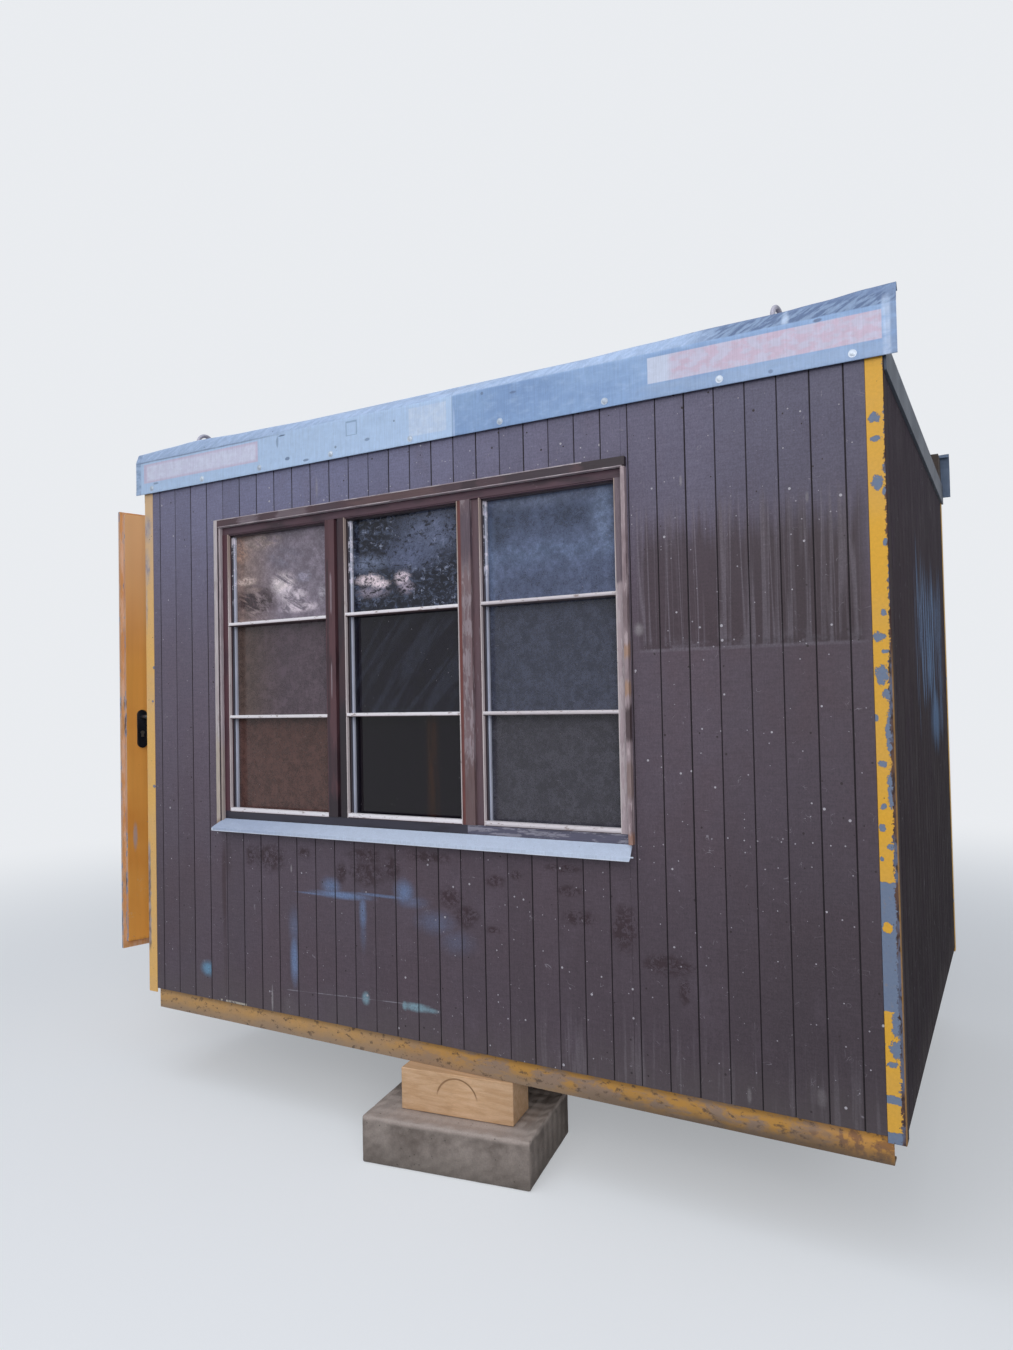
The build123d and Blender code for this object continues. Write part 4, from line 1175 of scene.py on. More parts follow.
@dataclass(frozen=True)
class Concrete:
    """Rough cast concrete with pores, stains and pale edges worn by rubbing."""

    name: str = "cast_concrete"

    def build(self) -> bpy.types.Material:
        """Return the material."""
        s = Shader(self.name)
        broad = s.noise(6, detail=5, rough=0.65)
        fine = s.noise(180, detail=4, rough=0.7, shift=3)
        damp = s.ease(s.scaled(broad, 0.12, s.v), -0.2, -0.33)
        s.colour = s.mix(s.ease(broad, 0.35, 0.68), "968b84", "6f655f")
        s.lay(damp, "4f4a44", 0.45)
        rubbed_and_shaded = s.ease(s.scaled(broad, 0.03, s.v), -0.215, -0.2)
        s.lay(rubbed_and_shaded, "b5a79f", 0.75)
        s.dim(s.ease(fine, 0.2, 0.8, 0.86, 1.1))
        pores = s.specks(60, 0.16, 0.4, shift=4)
        s.lay(pores, "453f3b", 0.6)
        height = s.minus(fine, pores)
        return s.finish(0.85, s.bump(height, 0.0015), 0.2)


@dataclass(frozen=True)
class PlainFinish:
    """A plain finish with a little variation: steel, plastic, felt or trim."""

    name: str
    colour: str
    other: str
    rough: float
    metal: float = 0.0
    scale: float = 40.0
    depth: float = 0.0003
    specks: float = 0.0
    speck_colour: str = "8a5a3c"

    def build(self) -> bpy.types.Material:
        """Return the material."""
        s = Shader(self.name)
        broad = s.noise(self.scale * 0.15, detail=4, rough=0.6)
        fine = s.noise(self.scale * 5, detail=3, rough=0.6, shift=2)
        s.colour = s.mix(s.ease(broad, 0.35, 0.68), self.colour, self.other)
        s.dim(s.ease(fine, 0.2, 0.8, 0.92, 1.06))
        if self.specks:
            rust = s.ease(s.noise(self.scale, detail=4, rough=0.7, shift=6), 1.0 - self.specks,
                          1.05 - self.specks)
            s.lay(rust, self.speck_colour, 0.8)
        rough = s.ease(broad, 0.3, 0.7, self.rough - 0.06, self.rough + 0.08)
        return s.finish(rough, s.bump(fine, self.depth), 0.5, self.metal)


class Finishes:
    """All finishes, each built once when first asked for."""

    def __init__(self) -> None:
        """Start with none built."""
        self.made: dict[str, bpy.types.Material] = {}

    def get(self, finish: object) -> bpy.types.Material:
        """Return a finish's material, building it if needed."""
        if finish.name not in self.made:
            self.made[finish.name] = finish.build()
        return self.made[finish.name]


FRONT_BOARDS = Cladding("boards_front", Along.X, True, FRONT_BOW)
BACK_BOARDS = Cladding("boards_back", Along.X)
LEFT_BOARDS = Cladding("boards_left", Along.Y, gloss=0.2, rough=0.6)
# Painted shade: the right end's boards are painted much darker than the others, as if in shade.
SHADED_RIGHT_BOARDS = Cladding(
    "boards_right", Along.Y, False, 0.0, "382e34", "342a2f", "403a44", "292226", gloss=0.08, rough=0.75
)
PANEL = WallPanel()
POST_RIGHT = ChippedSteel(
    "post_right",
    spots=smears(
        (3.062, 2.038, 0.015, 0.015), (3.065, 1.977, 0.013, 0.009), (3.066, 1.852, 0.015, 0.021),
        (3.083, 1.824, 0.006, 0.013), (3.085, 1.89, 0.006, 0.012), (3.081, 1.68, 0.006, 0.012),
        (3.071, 1.481, 0.008, 0.01), (3.058, 1.415, 0.016, 0.014), (3.073, 1.373, 0.01, 0.006),
        (3.06, 1.308, 0.017, 0.028), (3.074, 1.252, 0.012, 0.016), (3.043, 1.186, 0.006, 0.01),
        (3.057, 1.056, 0.013, 0.01), (3.055, 0.936, 0.008, 0.009), (3.051, 0.876, 0.009, 0.013),
        (3.07, 0.825, 0.009, 0.009), (3.047, 0.79, 0.005, 0.006), (3.078, 1.14, 0.01, 0.06),
        (3.078, 0.99, 0.01, 0.05), (3.072, 0.262, 0.02, 0.024), (3.072, 0.33, 0.012, 0.035),
        (3.06, 0.219, 0.014, 0.009),
    ),
    kept=smears((3.056, 0.598, 0.013, 0.016), (3.052, 0.245, 0.008, 0.008)),
    bare=(Band(0.362, 0.728, 0.006), Band(0.106, 0.137, 0.006), Band(-0.02, 0.036, 0.006)),
    corner=planes.right - planes.left,
)
POST_LEFT = ChippedSteel(
    "post_left", spots=smears(
        (0.04, 1.28, 0.007, 0.005), (0.044, 0.905, 0.008, 0.006), (0.048, 1.43, 0.004, 0.006),
    ),
    rubs=smears(
        (0.016, 2.055, 0.022, 0.045, 0.85, 0.8, 1.6), (0.01, 1.88, 0.016, 0.06, 0.8, 0.8, 1.6),
        (0.022, 1.87, 0.008, 0.01, 0.7, 0.5, 1.6), (0.006, 1.7, 0.008, 0.08, 0.6, 0.8, 1.6),
    ),
    chips=0.74, wear=0.45, paint="ecba6c", faded="d6b28a", pale_edge=0.0, primer="8d8a99", torn=3.4,
)
POST_BACK = ChippedSteel("post_back", chips=0.66)
BEAM_PAINT = ChippedSteel(
    "beam_paint", chips=0.76, paint="c2975f", faded="b28f68", grime_low=-0.062, grime_high=-0.005, wear=0.8,
    along=Along.X,
)
DOOR_FRAME = ChippedSteel("door_frame", chips=0.74, paint="c98c36", faded="b27d36")
DOOR = DoorPaint()
DOOR_EDGE = EdgePaint()
FASCIA = Zinc("zinc_fascia")
SILL = Zinc("zinc_sill", False, "b4c0d5", "a8b4cc", "c0cadc", "c2cde0")
SILL_EDGE = PlainFinish("sill_edge", "d3dae6", "c2cad9", 0.5, 0.0, 60)
# Painted shade: the back sheet darker at its right end.
BACK_ZINC = Zinc("zinc_back", False, "8496b3", "73869f", "9aabc4", "4c5a70", (3.00, 3.07))
TRIM = PlainFinish("trim_paint", "3c4656", "313a49", 0.55, 0.1, 20, specks=0.36, speck_colour="5d6a7e")
STILE = PeeledTimber("window_stiles", "50323b", "6e565e", 0.76, "3a252e")
FIRST_MULLION = PeeledTimber("first_mullion", "54393f", "7f6b70", 0.7, "32232a", redden=0.1, zones=(
    Zone(0.8, 2.02, "33232a", 0.85, 1.038, 1.057, 0.04, 0.006), Zone(0.88, 1.16, "33252c", 0.8, soft=0.12),
    Zone(1.6, 1.78, "8d7d84", 0.75, 1.06, 1.07), Zone(1.27, 1.42, "93858b", 0.8, 1.06, 1.067),
    Zone(1.8, 2.00, "4f3238", 0.8, 1.04, 1.06), Zone(0.7, 0.93, "221b22", 0.9, soft=0.06),
))
SECOND_STRIP = PeeledTimber("mullion_strip", "31242c", "4a3d45", 0.76, "241a22", zones=(
    Zone(0.7, 1.3, "1d171e", 0.9, soft=0.1),
))
# Painted shade: the grooves' timber painted darker, as shade in the grooves.
DEEP = PeeledTimber("window_grooves", "372c36", "4c4049", 0.76, "231b22")
RAIL = PeeledTimber("window_rails", "543f49", "7b6970", 0.68, "33272f", Along.X, redden=0.1)
LOW_RAIL = PeeledTimber("bottom_rails", "312f3b", "4d4b58", 0.7, "211f28", Along.X, redden=0.0)
PALE_RAIL = PeeledTimber("pale_rail", "565465", "86838f", 0.52, "413f4c", Along.X, redden=0.0)
GREY_STILE = PeeledTimber("worn_mullion", "7a676b", "93858a", 0.5, "63535a", redden=0.1, zones=(
    Zone(1.7, 2.00, "574a54", 0.9, soft=0.1), Zone(0.7, 1.1, "634e4e", 0.85, soft=0.12),
))
RED_STILE = PeeledTimber("red_stile", "6b3d39", "80605e", 0.74, "482b2c", redden=0.5)
# Painted shade: the recessed strip beside the third light painted darker, as shade in the recess, over its
# peeled stain.
SHADED_STRIP = PeeledTimber("shaded_worn_strip", "5e4c53", "7d6d73", 0.64, "43343b")
PINK_STILE = PeeledTimber("pink_stile", "ac9b9f", "bcaeb1", 0.5, "8d7c81", redden=0.0, zones=(
    Zone(1.62, 2.05, "6e6068", 0.95, soft=0.02),
))
WHITE_STILE = PeeledTimber("white_stile", "beb1b3", "d3c9cb", 0.42, "93858a", redden=0.0)
BARE_CASING = PeeledTimber("bare_casing", "b9adae", "c6bcbd", 0.42, "a0928f", redden=0.0, zones=(
    Zone(0.7, 1.15, "bdae9c", 0.7, soft=0.1), Zone(0.7, 0.79, "8d6f5c", 0.7, soft=0.02),
))
INNER_CASING = PeeledTimber("inner_casing", "a2959a", "b5a9ad", 0.42, "897a80", redden=0.0, zones=(
    Zone(0.7, 1.15, "a89a8c", 0.6, soft=0.1),
))
PEELED_CASING = PeeledTimber("peeled_casing", "9c8b8f", "b3a2a5", 0.5, "6b595e", redden=0.0, zones=(
    Zone(1.46, 1.62, "5d4b4e", 0.6, soft=0.05), Zone(1.37, 1.44, "a78672", 0.9, soft=0.025),
    Zone(1.25, 1.32, "a3836f", 0.9, soft=0.025), Zone(1.1, 1.24, "3c2d30", 0.9, soft=0.03),
    Zone(0.76, 0.83, "96705e", 0.8, soft=0.02), Zone(0.92, 1.06, "806c68", 0.8, soft=0.03),
))
HEAD_CASING = PeeledTimber("head_casing", "46373e", "695a61", 0.66, "2e232a", Along.X, redden=0.15, zones=(
    Zone(1.9, 2.2, "82757c", 0.7, 0.58, 0.72, 0.03, 0.04),
    Zone(1.9, 2.2, "776a70", 0.7, 0.79, 0.98, 0.03, 0.03),
    Zone(1.9, 2.2, "644d4d", 0.6, 1.14, 1.64, 0.03, 0.1),
    Zone(1.9, 2.2, "33282e", 0.85, 1.68, 1.76, 0.03, 0.02),
    Zone(1.9, 2.2, "3a2f36", 0.95, 1.84, 2.14, 0.03, 0.04),
    Zone(1.9, 2.2, "2a2127", 0.9, 2.14, 2.4, 0.03, 0.03),
))
HEAD_EDGE = PeeledTimber("head_edge", "9d9096", "bdb2b6", 0.5, "6b5d64", Along.X, redden=0.0)
BEADS = BeadPaint("bead_paint", "cfc3c3", "8a7370", top="9f8b7f")
BARS = BarPaint("bar_paint", 1.21, 0.388)
LEFT_BARS = BarPaint("left_bar_paint", 1.2065, 0.388)
RIGHT_BARS = BarPaint("right_bar_paint", 1.21, 0.388, "dcd4d7", "bab2b6", "544a4d")
SASH = BeadPaint("sash_paint", "c6cbdc", "8a8d9c", Along.Z, 0.74, 0.0365)
PUTTY = BeadPaint("sash_putty", "b6b8c6", "8a8d9c", Along.Z, 0.74, 0.001)
SASH_FRONT = PeeledTimber("sash_front", "463c42", "6a6066", 0.7, "2f272c", redden=0.0)
GLASS = DustyGlassWithReflections()
FLOOR = Timber("floor_boards", "5f5145", "473b31", Along.X, 60)
JOISTS = Timber("joists", "7c6650", "5f4c3a", Along.Y, 60)
# Painted shade: the roof timber painted dark, as its end is seen in shade.
ROOF_TIMBER = Timber("roof_timber", "443a34", "352c28", Along.X, 60)
CEILING = Timber("ceiling_boards", "6a5a4c", "55473b", Along.X, 40)
SAWN = Timber("sawn_blocks", "d2ae8c", "c19a74", Along.X, 70, saw_mark=True)
CONCRETE = Concrete()
FELT = PlainFinish("roof_felt", "3a3a3c", "2c2c2e", 0.9, 0.0, 60, 0.001)
STEEL = PlainFinish("dull_steel", "b3b0bd", "9c9dad", 0.55, 0.15, 60, specks=0.33)
SCREW_METAL = PlainFinish("screw_metal", "c9d2de", "aab5c4", 0.35, 0.25, 160)
NAIL = PlainFinish("nail_heads", "aaa6ad", "8d8890", 0.6, 0.0, 80)
PLASTIC = PlainFinish("black_plastic", "15161b", "1d1f26", 0.32, 0.0, 80, 0.0001)
LOCK = PlainFinish("lock_metal", "b9b4a8", "98948b", 0.3, 0.9, 80)

finishes = Finishes()


class Mesher:
    """Collects solid forms into one mesh, with a finish for each."""

    def __init__(self, name: str) -> None:
        """Start an empty mesh."""
        self.name = name
        self.bm = bmesh.new()
        self.finishes: list[object] = []

    def index(self, finish: object) -> int:
        """Return the material index of a finish, adding it if needed."""
        if finish not in self.finishes:
            self.finishes.append(finish)
        return self.finishes.index(finish)

    def block(self, low: Vector, high: Vector, finish: object) -> list[bmesh.types.BMVert]:
        """Add a box between two corners."""
        made = bmesh.ops.create_cube(self.bm, size=1.0)["verts"]
        size, middle = Vector(high) - Vector(low), (Vector(high) + Vector(low)) / 2
        for vertex in made:
            vertex.co = Vector(a * b for a, b in zip(vertex.co, size)) + middle
        self.paint(made, finish)
        return made

    def slab(self, us: Pair, ds: Pair, vs: Pair, finish: object) -> None:
        """Add a box between two values along the front, two into the cabin and two above the datum."""
        self.block(*(planes.at(*corner) for corner in zip(us, ds, vs)), finish)

    def prism(self, outline: list[Vector], run: Vector, finish: object) -> list[bmesh.types.BMVert]:
        """Add a closed outline carried along a run."""
        start = [self.bm.verts.new(point) for point in outline]
        end = [self.bm.verts.new(Vector(point) + run) for point in outline]
        faces = [self.bm.faces.new(start), self.bm.faces.new(end)]
        for i in range(len(outline)):
            j = (i + 1) % len(outline)
            faces.append(self.bm.faces.new((start[i], start[j], end[j], end[i])))
        bmesh.ops.recalc_face_normals(self.bm, faces=faces)
        self.paint(start + end, finish)
        return start + end

    def paint(self, vertices: list[bmesh.types.BMVert], finish: object) -> None:
        """Give the faces of some vertices a finish."""
        index = self.index(finish)
        for face in {face for vertex in vertices for face in vertex.link_faces}:
            face.material_index = index

    def build(self, bevel: float = 0.0, segments: int = 2) -> bpy.types.Object:
        """Return the object, with its edges rounded."""
        mesh = bpy.data.meshes.new(self.name)
        self.bm.to_mesh(mesh)
        self.bm.free()
        made = link(bpy.data.objects.new(self.name, mesh))
        for finish in self.finishes:
            mesh.materials.append(finishes.get(finish))
        return rounded(made, bevel, segments)


def link(made: bpy.types.Object) -> bpy.types.Object:
    """Put an object in the scene and return it."""
    bpy.context.scene.collection.objects.link(made)
    return made


def flatten(made: bpy.types.Object) -> bpy.types.Object:
    """Turn an object's modifiers into its plain mesh and remove them."""
    bpy.context.view_layer.update()
    graph = bpy.context.evaluated_depsgraph_get()
    mesh = bpy.data.meshes.new_from_object(made.evaluated_get(graph), depsgraph=graph)
    made.modifiers.clear()
    made.data = mesh
    return made


def rounded(made: bpy.types.Object, width: float, segments: int = 2) -> bpy.types.Object:
    """Round the sharp edges of an object and shade it smooth between them.

    Args:
        made: the object.
        width: the width of the rounding, or 0 for none.
        segments: the steps across it.
    Returns:
        The object.
    """
    if width > 0:
        bevel = made.modifiers.new("edges", "BEVEL")
        bevel.width = width
        bevel.segments = segments
        bevel.limit_method = "ANGLE"
        bevel.angle_limit = FOLD_ANGLE
        bevel.use_clamp_overlap = True
        bevel.harden_normals = False
        flatten(made)
    made.data.shade_smooth()
    made.data.set_sharp_from_angle(angle=SMOOTH_ANGLE)
    weight = made.modifiers.new("weights", "WEIGHTED_NORMAL")
    weight.keep_sharp = True
    return flatten(made)


def dress(made: bpy.types.Object, slot: Slot, body: str = "cabin", *nodes: str) -> bpy.types.Object:
    """Attach a finished piece to its body and hide the nodes that it stands for."""
    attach(made, body)
    if nodes:
        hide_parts(*nodes)
    log.info("%s: %d faces, on %s", made.name, len(made.data.polygons), body)
    return made


def coat(node: str, finish: object) -> None:
    """Give a carried-over node its finish."""
    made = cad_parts[node]
    made.data.materials.clear()
    made.data.materials.append(finishes.get(finish))
    log.info("%s: carried over", node)


def refined(node: str, name: str, finish: object, bevel: float, segments: int = 2) -> bpy.types.Object:
    """Return a copy of a node with merged faces and rounded edges.

    Args:
        node: the node's name.
        name: the new piece's name.
        finish: its finish.
        bevel: the width of the rounding.
        segments: the steps across it.
    Returns:
        The new object.
    """
    bm = bmesh.new()
    bm.from_mesh(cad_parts[node].data)
    bmesh.ops.remove_doubles(bm, verts=bm.verts, dist=WELD)
    bmesh.ops.dissolve_limit(bm, angle_limit=FLAT_ANGLE, verts=bm.verts, edges=bm.edges)
    mesh = bpy.data.meshes.new(name)
    bm.to_mesh(mesh)
    bm.free()
    for attribute in [a.name for a in mesh.uv_layers]:
        mesh.uv_layers.remove(mesh.uv_layers[attribute])
    mesh.materials.clear()
    mesh.materials.append(finishes.get(finish))
    return rounded(link(bpy.data.objects.new(name, mesh)), bevel, segments)


def steelwork(node: str, finish: object, edge: float) -> None:
    dress(refined(node, node + "_steel", finish, edge), Slot.YELLOW, "cabin", node)


class NodeTree(Graph):
    """A Geometry Nodes tree with named inputs, built by short calls."""

    def __init__(self, name: str) -> None:
        """Start an empty tree with one geometry input and one geometry output."""
        self.tree = bpy.data.node_groups.new(name, "GeometryNodeTree")
        self.identifiers: dict[str, str] = {}
        self.tree.interface.new_socket("Geometry", in_out="INPUT", socket_type="NodeSocketGeometry")
        self.tree.interface.new_socket("Geometry", in_out="OUTPUT", socket_type="NodeSocketGeometry")

    def inputs(self, **kinds: str) -> dict[str, Socket]:
        """Declare named inputs.

        Args:
            kinds: each input's name and its kind: Float, Int, Vector or Material.
        Returns:
            The sockets that carry them inside the tree, with the incoming geometry under "Geometry".
        """
        for name, kind in kinds.items():
            made = self.tree.interface.new_socket(name, in_out="INPUT", socket_type=f"NodeSocket{kind}")
            self.identifiers[name] = made.identifier
        start = self.tree.nodes.new("NodeGroupInput")
        return {socket.name: socket for socket in start.outputs if socket.name}

    def combine(self, x: object = 0.0, y: object = 0.0, z: object = 0.0) -> Socket:
        """Return a vector from three values."""
        return self.out("ShaderNodeCombineXYZ", {0: x, 1: y, 2: z})

    def close(self, geometry: Socket, material: Socket) -> bpy.types.NodeTree:
        """End the tree with Realize Instances and Set Material and return it."""
        real = self.out("GeometryNodeRealizeInstances", {0: geometry})
        painted = self.out("GeometryNodeSetMaterial", {"Geometry": real, "Material": material})
        end = self.tree.nodes.new("NodeGroupOutput")
        self.tree.links.new(painted, end.inputs[0])
        return self.tree


@dataclass
class Scatter:
    """Runs a Geometry Nodes tree on loose points and keeps the result as a plain mesh."""

    tree: NodeTree

    def run(self, name: str, points: list[Vector], values: dict[str, object]) -> bpy.types.Object:
        """Return the finished object.

        Args:
            name: the object's name.
            points: the loose points that enter the tree.
            values: the tree's inputs by name.
        Returns:
            The object with its plain mesh.
        """
        mesh = bpy.data.meshes.new(name)
        mesh.from_pydata([tuple(point) for point in points], [], [])
        made = bpy.data.objects.new(name, mesh)
        modifier = made.modifiers.new("build", "NODES")
        modifier.node_group = self.tree.tree
        for key, value in values.items():
            modifier[self.tree.identifiers[key]] = value
        return flatten(link(made))


def board_tree() -> NodeTree:
    """Return the tree that lays a row of upright boards with joints between them."""
    t = NodeTree("board_row")
    g = t.inputs(
        Start="Float", End="Float", First="Float", Pitch="Float", Joint="Float", Bottom="Float",
        Top="Float", Thickness="Float", Warp="Float", Turn="Float", Bow="Float", Length="Float",
        Place="Vector", Seed="Int", Paint="Material",
    )
    before = t.math("FLOOR", t.over(t.minus(g["Start"], g["First"]), g["Pitch"]))
    after = t.math("CEIL", t.over(t.minus(g["End"], g["First"]), g["Pitch"]))
    line = t.out("GeometryNodeMeshLine", {"Count": t.minus(after, before)})
    place = t.plus(t.out("GeometryNodeInputIndex"), before)
    sides = []
    for number in (place, t.plus(place, 1.0)):
        straight = t.scaled(number, g["Pitch"], g["First"])
        bend = t.math("SINE", t.over(t.both(straight, math.pi), g["Length"]))
        chance = t.out("ShaderNodeTexWhiteNoise", {"W": number}, noise_dimensions="1D")
        half = t.both(g["Joint"], t.scaled(chance, 0.3, 0.24))
        sides.append((t.scaled(bend, g["Bow"], straight), half))
    (left, left_half), (right, right_half) = sides
    low = t.math("MAXIMUM", t.plus(left, left_half), g["Start"])
    high = t.math("MINIMUM", t.minus(right, right_half), g["End"])
    height = t.minus(g["Top"], g["Bottom"])
    centre = t.combine(
        t.over(t.plus(low, high), 2.0), t.over(g["Thickness"], -2.0),
        t.scaled(height, 0.5, g["Bottom"]),
    )
    set_line = t.out("GeometryNodeSetPosition", {"Geometry": line, "Position": centre})
    board = t.out("GeometryNodeMeshCube", {
        "Size": t.combine(1.0, g["Thickness"], height), "Vertices X": 2, "Vertices Y": 2, "Vertices Z": 14,
    })
    boards = t.out("GeometryNodeInstanceOnPoints", {
        "Points": set_line, "Instance": board,
        "Scale": t.combine(t.minus(high, low), 1.0, 1.0),
    })
    real = t.out("GeometryNodeRealizeInstances", {0: boards})
    where = t.out("GeometryNodeInputPosition")
    shift = t.combine(t.both(g["Seed"], 7.3), 0.0, 0.0)
    seeded = t.out("ShaderNodeVectorMath", {0: where, 1: shift}, operation="ADD")
    squeezed = t.out("ShaderNodeVectorMath", {0: seeded, 1: (9.0, 9.0, 1.3)}, operation="MULTIPLY")
    wave = t.out("ShaderNodeTexNoise", {"Vector": squeezed, "Scale": 1.0, "Detail": 1.0})
    swing = t.both(t.minus(wave, 0.5), g["Warp"])
    face = t.math("LESS_THAN", t.node("ShaderNodeSeparateXYZ", {0: where}).outputs[1],
                  t.over(g["Thickness"], -2.0))
    bent = t.out("GeometryNodeSetPosition", {
        "Geometry": real, "Offset": t.combine(0.0, t.both(swing, face), 0.0),
    })
    turned = t.out("GeometryNodeTransform", {
        "Geometry": bent, "Translation": g["Place"], "Rotation": t.combine(0.0, 0.0, g["Turn"]),
    })
    t.close(turned, g["Paint"])
    return t


def fastener_tree() -> NodeTree:
    """Return the tree that sets a domed head on a washer at each point, facing one way."""
    t = NodeTree("fasteners")
    g = t.inputs(
        Head="Float", Rise="Float", Washer="Float", Thickness="Float", Facing="Vector", Spin="Float",
        Seed="Int", Metal="Material",
    )
    dome = t.out("GeometryNodeMeshUVSphere", {"Segments": 12, "Rings": 8, "Radius": 1.0})
    flat = t.out("GeometryNodeTransform", {
        "Geometry": dome, "Scale": t.combine(g["Head"], g["Head"], g["Rise"]),
        "Translation": t.combine(0.0, 0.0, g["Thickness"]),
    })
    washer = t.out("GeometryNodeMeshCylinder", {
        "Vertices": 20, "Side Segments": 1, "Radius": g["Washer"], "Depth": t.both(g["Thickness"], 2.0),
    })
    slot = t.out("GeometryNodeMeshCube", {
        "Size": t.combine(t.both(g["Head"], 1.3), t.both(g["Head"], 0.22),
                          t.both(g["Rise"], 1.0)),
    })
    raised = t.out("GeometryNodeTransform", {
        "Geometry": slot,
        "Translation": t.combine(0.0, 0.0, t.scaled(g["Rise"], 0.62, g["Thickness"])),
    })
    join = t.tree.nodes.new("GeometryNodeJoinGeometry")
    for part in (flat, washer, raised):
        t.tree.links.new(part, join.inputs[0])
    turn = t.out("FunctionNodeAlignRotationToVector", {"Vector": g["Facing"]}, axis="Z")
    spin = t.node("FunctionNodeRandomValue", {2: 0.0, 3: g["Spin"], "Seed": g["Seed"]}, data_type="FLOAT")
    made = t.out("GeometryNodeInstanceOnPoints", {
        "Points": g["Geometry"], "Instance": join.outputs[0], "Rotation": turn,
    })
    spun = t.out("GeometryNodeRotateInstances", {
        "Instances": made, "Rotation": t.combine(0.0, 0.0, spin.outputs[1]),
    })
    t.close(spun, g["Metal"])
    return t


def bar_tree() -> NodeTree:
    """Return the tree that sets level glazing bars at equal steps up a light."""
    t = NodeTree("glazing_bars")
    g = t.inputs(Length="Float", Height="Float", Depth="Float", Count="Int", Step="Float", Place="Vector",
                 Paint="Material")
    line = t.out("GeometryNodeMeshLine", {"Count": g["Count"], "Offset": t.combine(0.0, 0.0, g["Step"])})
    bar = t.out("GeometryNodeMeshCube", {
        "Size": t.combine(g["Length"], g["Depth"], g["Height"]), "Vertices X": 9,
    })
    bars = t.out("GeometryNodeInstanceOnPoints", {"Points": line, "Instance": bar})
    moved = t.out("GeometryNodeTransform", {"Geometry": bars, "Translation": g["Place"]})
    t.close(moved, g["Paint"])
    return t


@dataclass
class Walls:
    """Profiled boards on all four sides, on the plain wall panels."""

    boards: Scatter
    fasteners: Scatter
    thickness: float = 0.0032
    warp: float = 0.0009
    post_width: float = 0.05
    board_bottom: float = 0.0175
    opening: Pair = (0.475, 2.29)
    sill_under: float = 0.775
    head_over: float = 2.005
    jamb_trim: float = 0.02
    board_edge: float = 0.0011
    nail_seat: float = 0.0002
    over_row: Triple = (2.062, 0.004, 37.0)
    beside_row: Triple = (0.82, 0.003, 51.0)

    def nails(self, skin: float) -> None:
        """Set the nail heads above the window and in a row across the right-hand boards."""
        over = (
            0.56, 0.665, 0.77, 0.862, 0.96, 1.055, 1.152, 1.256, 1.346,
            1.444, 1.534, 1.631, 1.728, 1.876, 1.987, 2.057, 2.161, 2.244,
        )
        beside = (2.56, 2.61, 2.66, 2.7, 2.77, 2.81, 2.86, 2.91, 2.95)
        places = [
            (u, height + sway * math.sin(u * turns))
            for row, (height, sway, turns) in ((over, self.over_row), (beside, self.beside_row)) for u in row
        ]
        points = [planes.at(u, skin - self.thickness + self.nail_seat, v) for u, v in places]
        made = self.fasteners.run("board_nails", points, {
            "Head": 0.0024, "Rise": 0.0007, "Washer": 0.0022, "Thickness": 0.0002, "Facing": (0.0, -1.0, 0.0),
            "Spin": math.pi, "Seed": 3, "Metal": finishes.get(NAIL),
        })
        made.data.shade_smooth()
        dress(made, Slot.STEEL)

    def row(self, name: str, start: float, end: float, bottom: float, top: float, turn: float, place: Vector,
            finish: object, seed: int) -> bpy.types.Object:
        """Return one row of boards, in its wall's place."""
        made = self.boards.run(name, [Vector()], {
            "Start": start, "End": end, "First": FIRST_JOINT, "Pitch": BOARD_PITCH, "Joint": JOINT,
            "Bottom": bottom, "Top": top, "Thickness": self.thickness, "Warp": self.warp, "Turn": turn,
            "Bow": finish.bow, "Length": planes.right - planes.left, "Place": tuple(place), "Seed": seed,
            "Paint": finishes.get(finish),
        })
        return rounded(made, self.board_edge, 1)

    def build(self) -> None:
        """Make the boards and finish the panels."""
        length = planes.right - planes.left
        width = planes.back - planes.front
        top = planes.wall_top - planes.datum_z
        skin = planes.wall_face - planes.front
        end_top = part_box("side_trims")[0].z - planes.datum_z
        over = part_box("left_wall_over_door")[0].z - planes.datum_z
        jamb = width - (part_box("door_jamb_rear")[1].y - planes.front)
        post, foot = self.post_width, self.board_bottom
        low, high = self.opening
        front = (0.0, planes.at(0, skin, 0), FRONT_BOARDS)
        left = (-math.pi / 2, planes.at(skin, width, 0), LEFT_BOARDS)
        front_rows = (
            ("boards_front_left", post, low, foot, top, *front, 0),
            ("boards_front_right", high, length - post, foot, top, *front, 1),
            ("boards_front_below", low, high, foot, self.sill_under, *front, 2),
            ("boards_front_above", low, high, self.head_over, top, *front, 3),
        )
        other_rows = (
            ("boards_back", post, length - post, foot, top,
             math.pi, planes.at(length, width - skin, 0), BACK_BOARDS, 5),
            ("boards_right", post, width - post, foot, end_top,
             math.pi / 2, planes.at(length - skin, 0, 0), SHADED_RIGHT_BOARDS, 6),
            ("boards_left", post, jamb, foot, end_top, *left, 7),
            ("boards_over_door", jamb, width - self.jamb_trim, over, end_top, *left, 8),
        )
        for row in front_rows:
            dress(self.row(*row), Slot.CLADDING)
        self.nails(skin)
        for row in other_rows:
            dress(self.row(*row), Slot.CLADDING)
        panels = (
            "front_wall_left", "front_wall_right", "front_wall_below", "front_wall_above",
            "back_wall", "right_wall", "left_wall", "left_wall_over_door",
        )
        for node in panels:
            coat(node, PANEL)


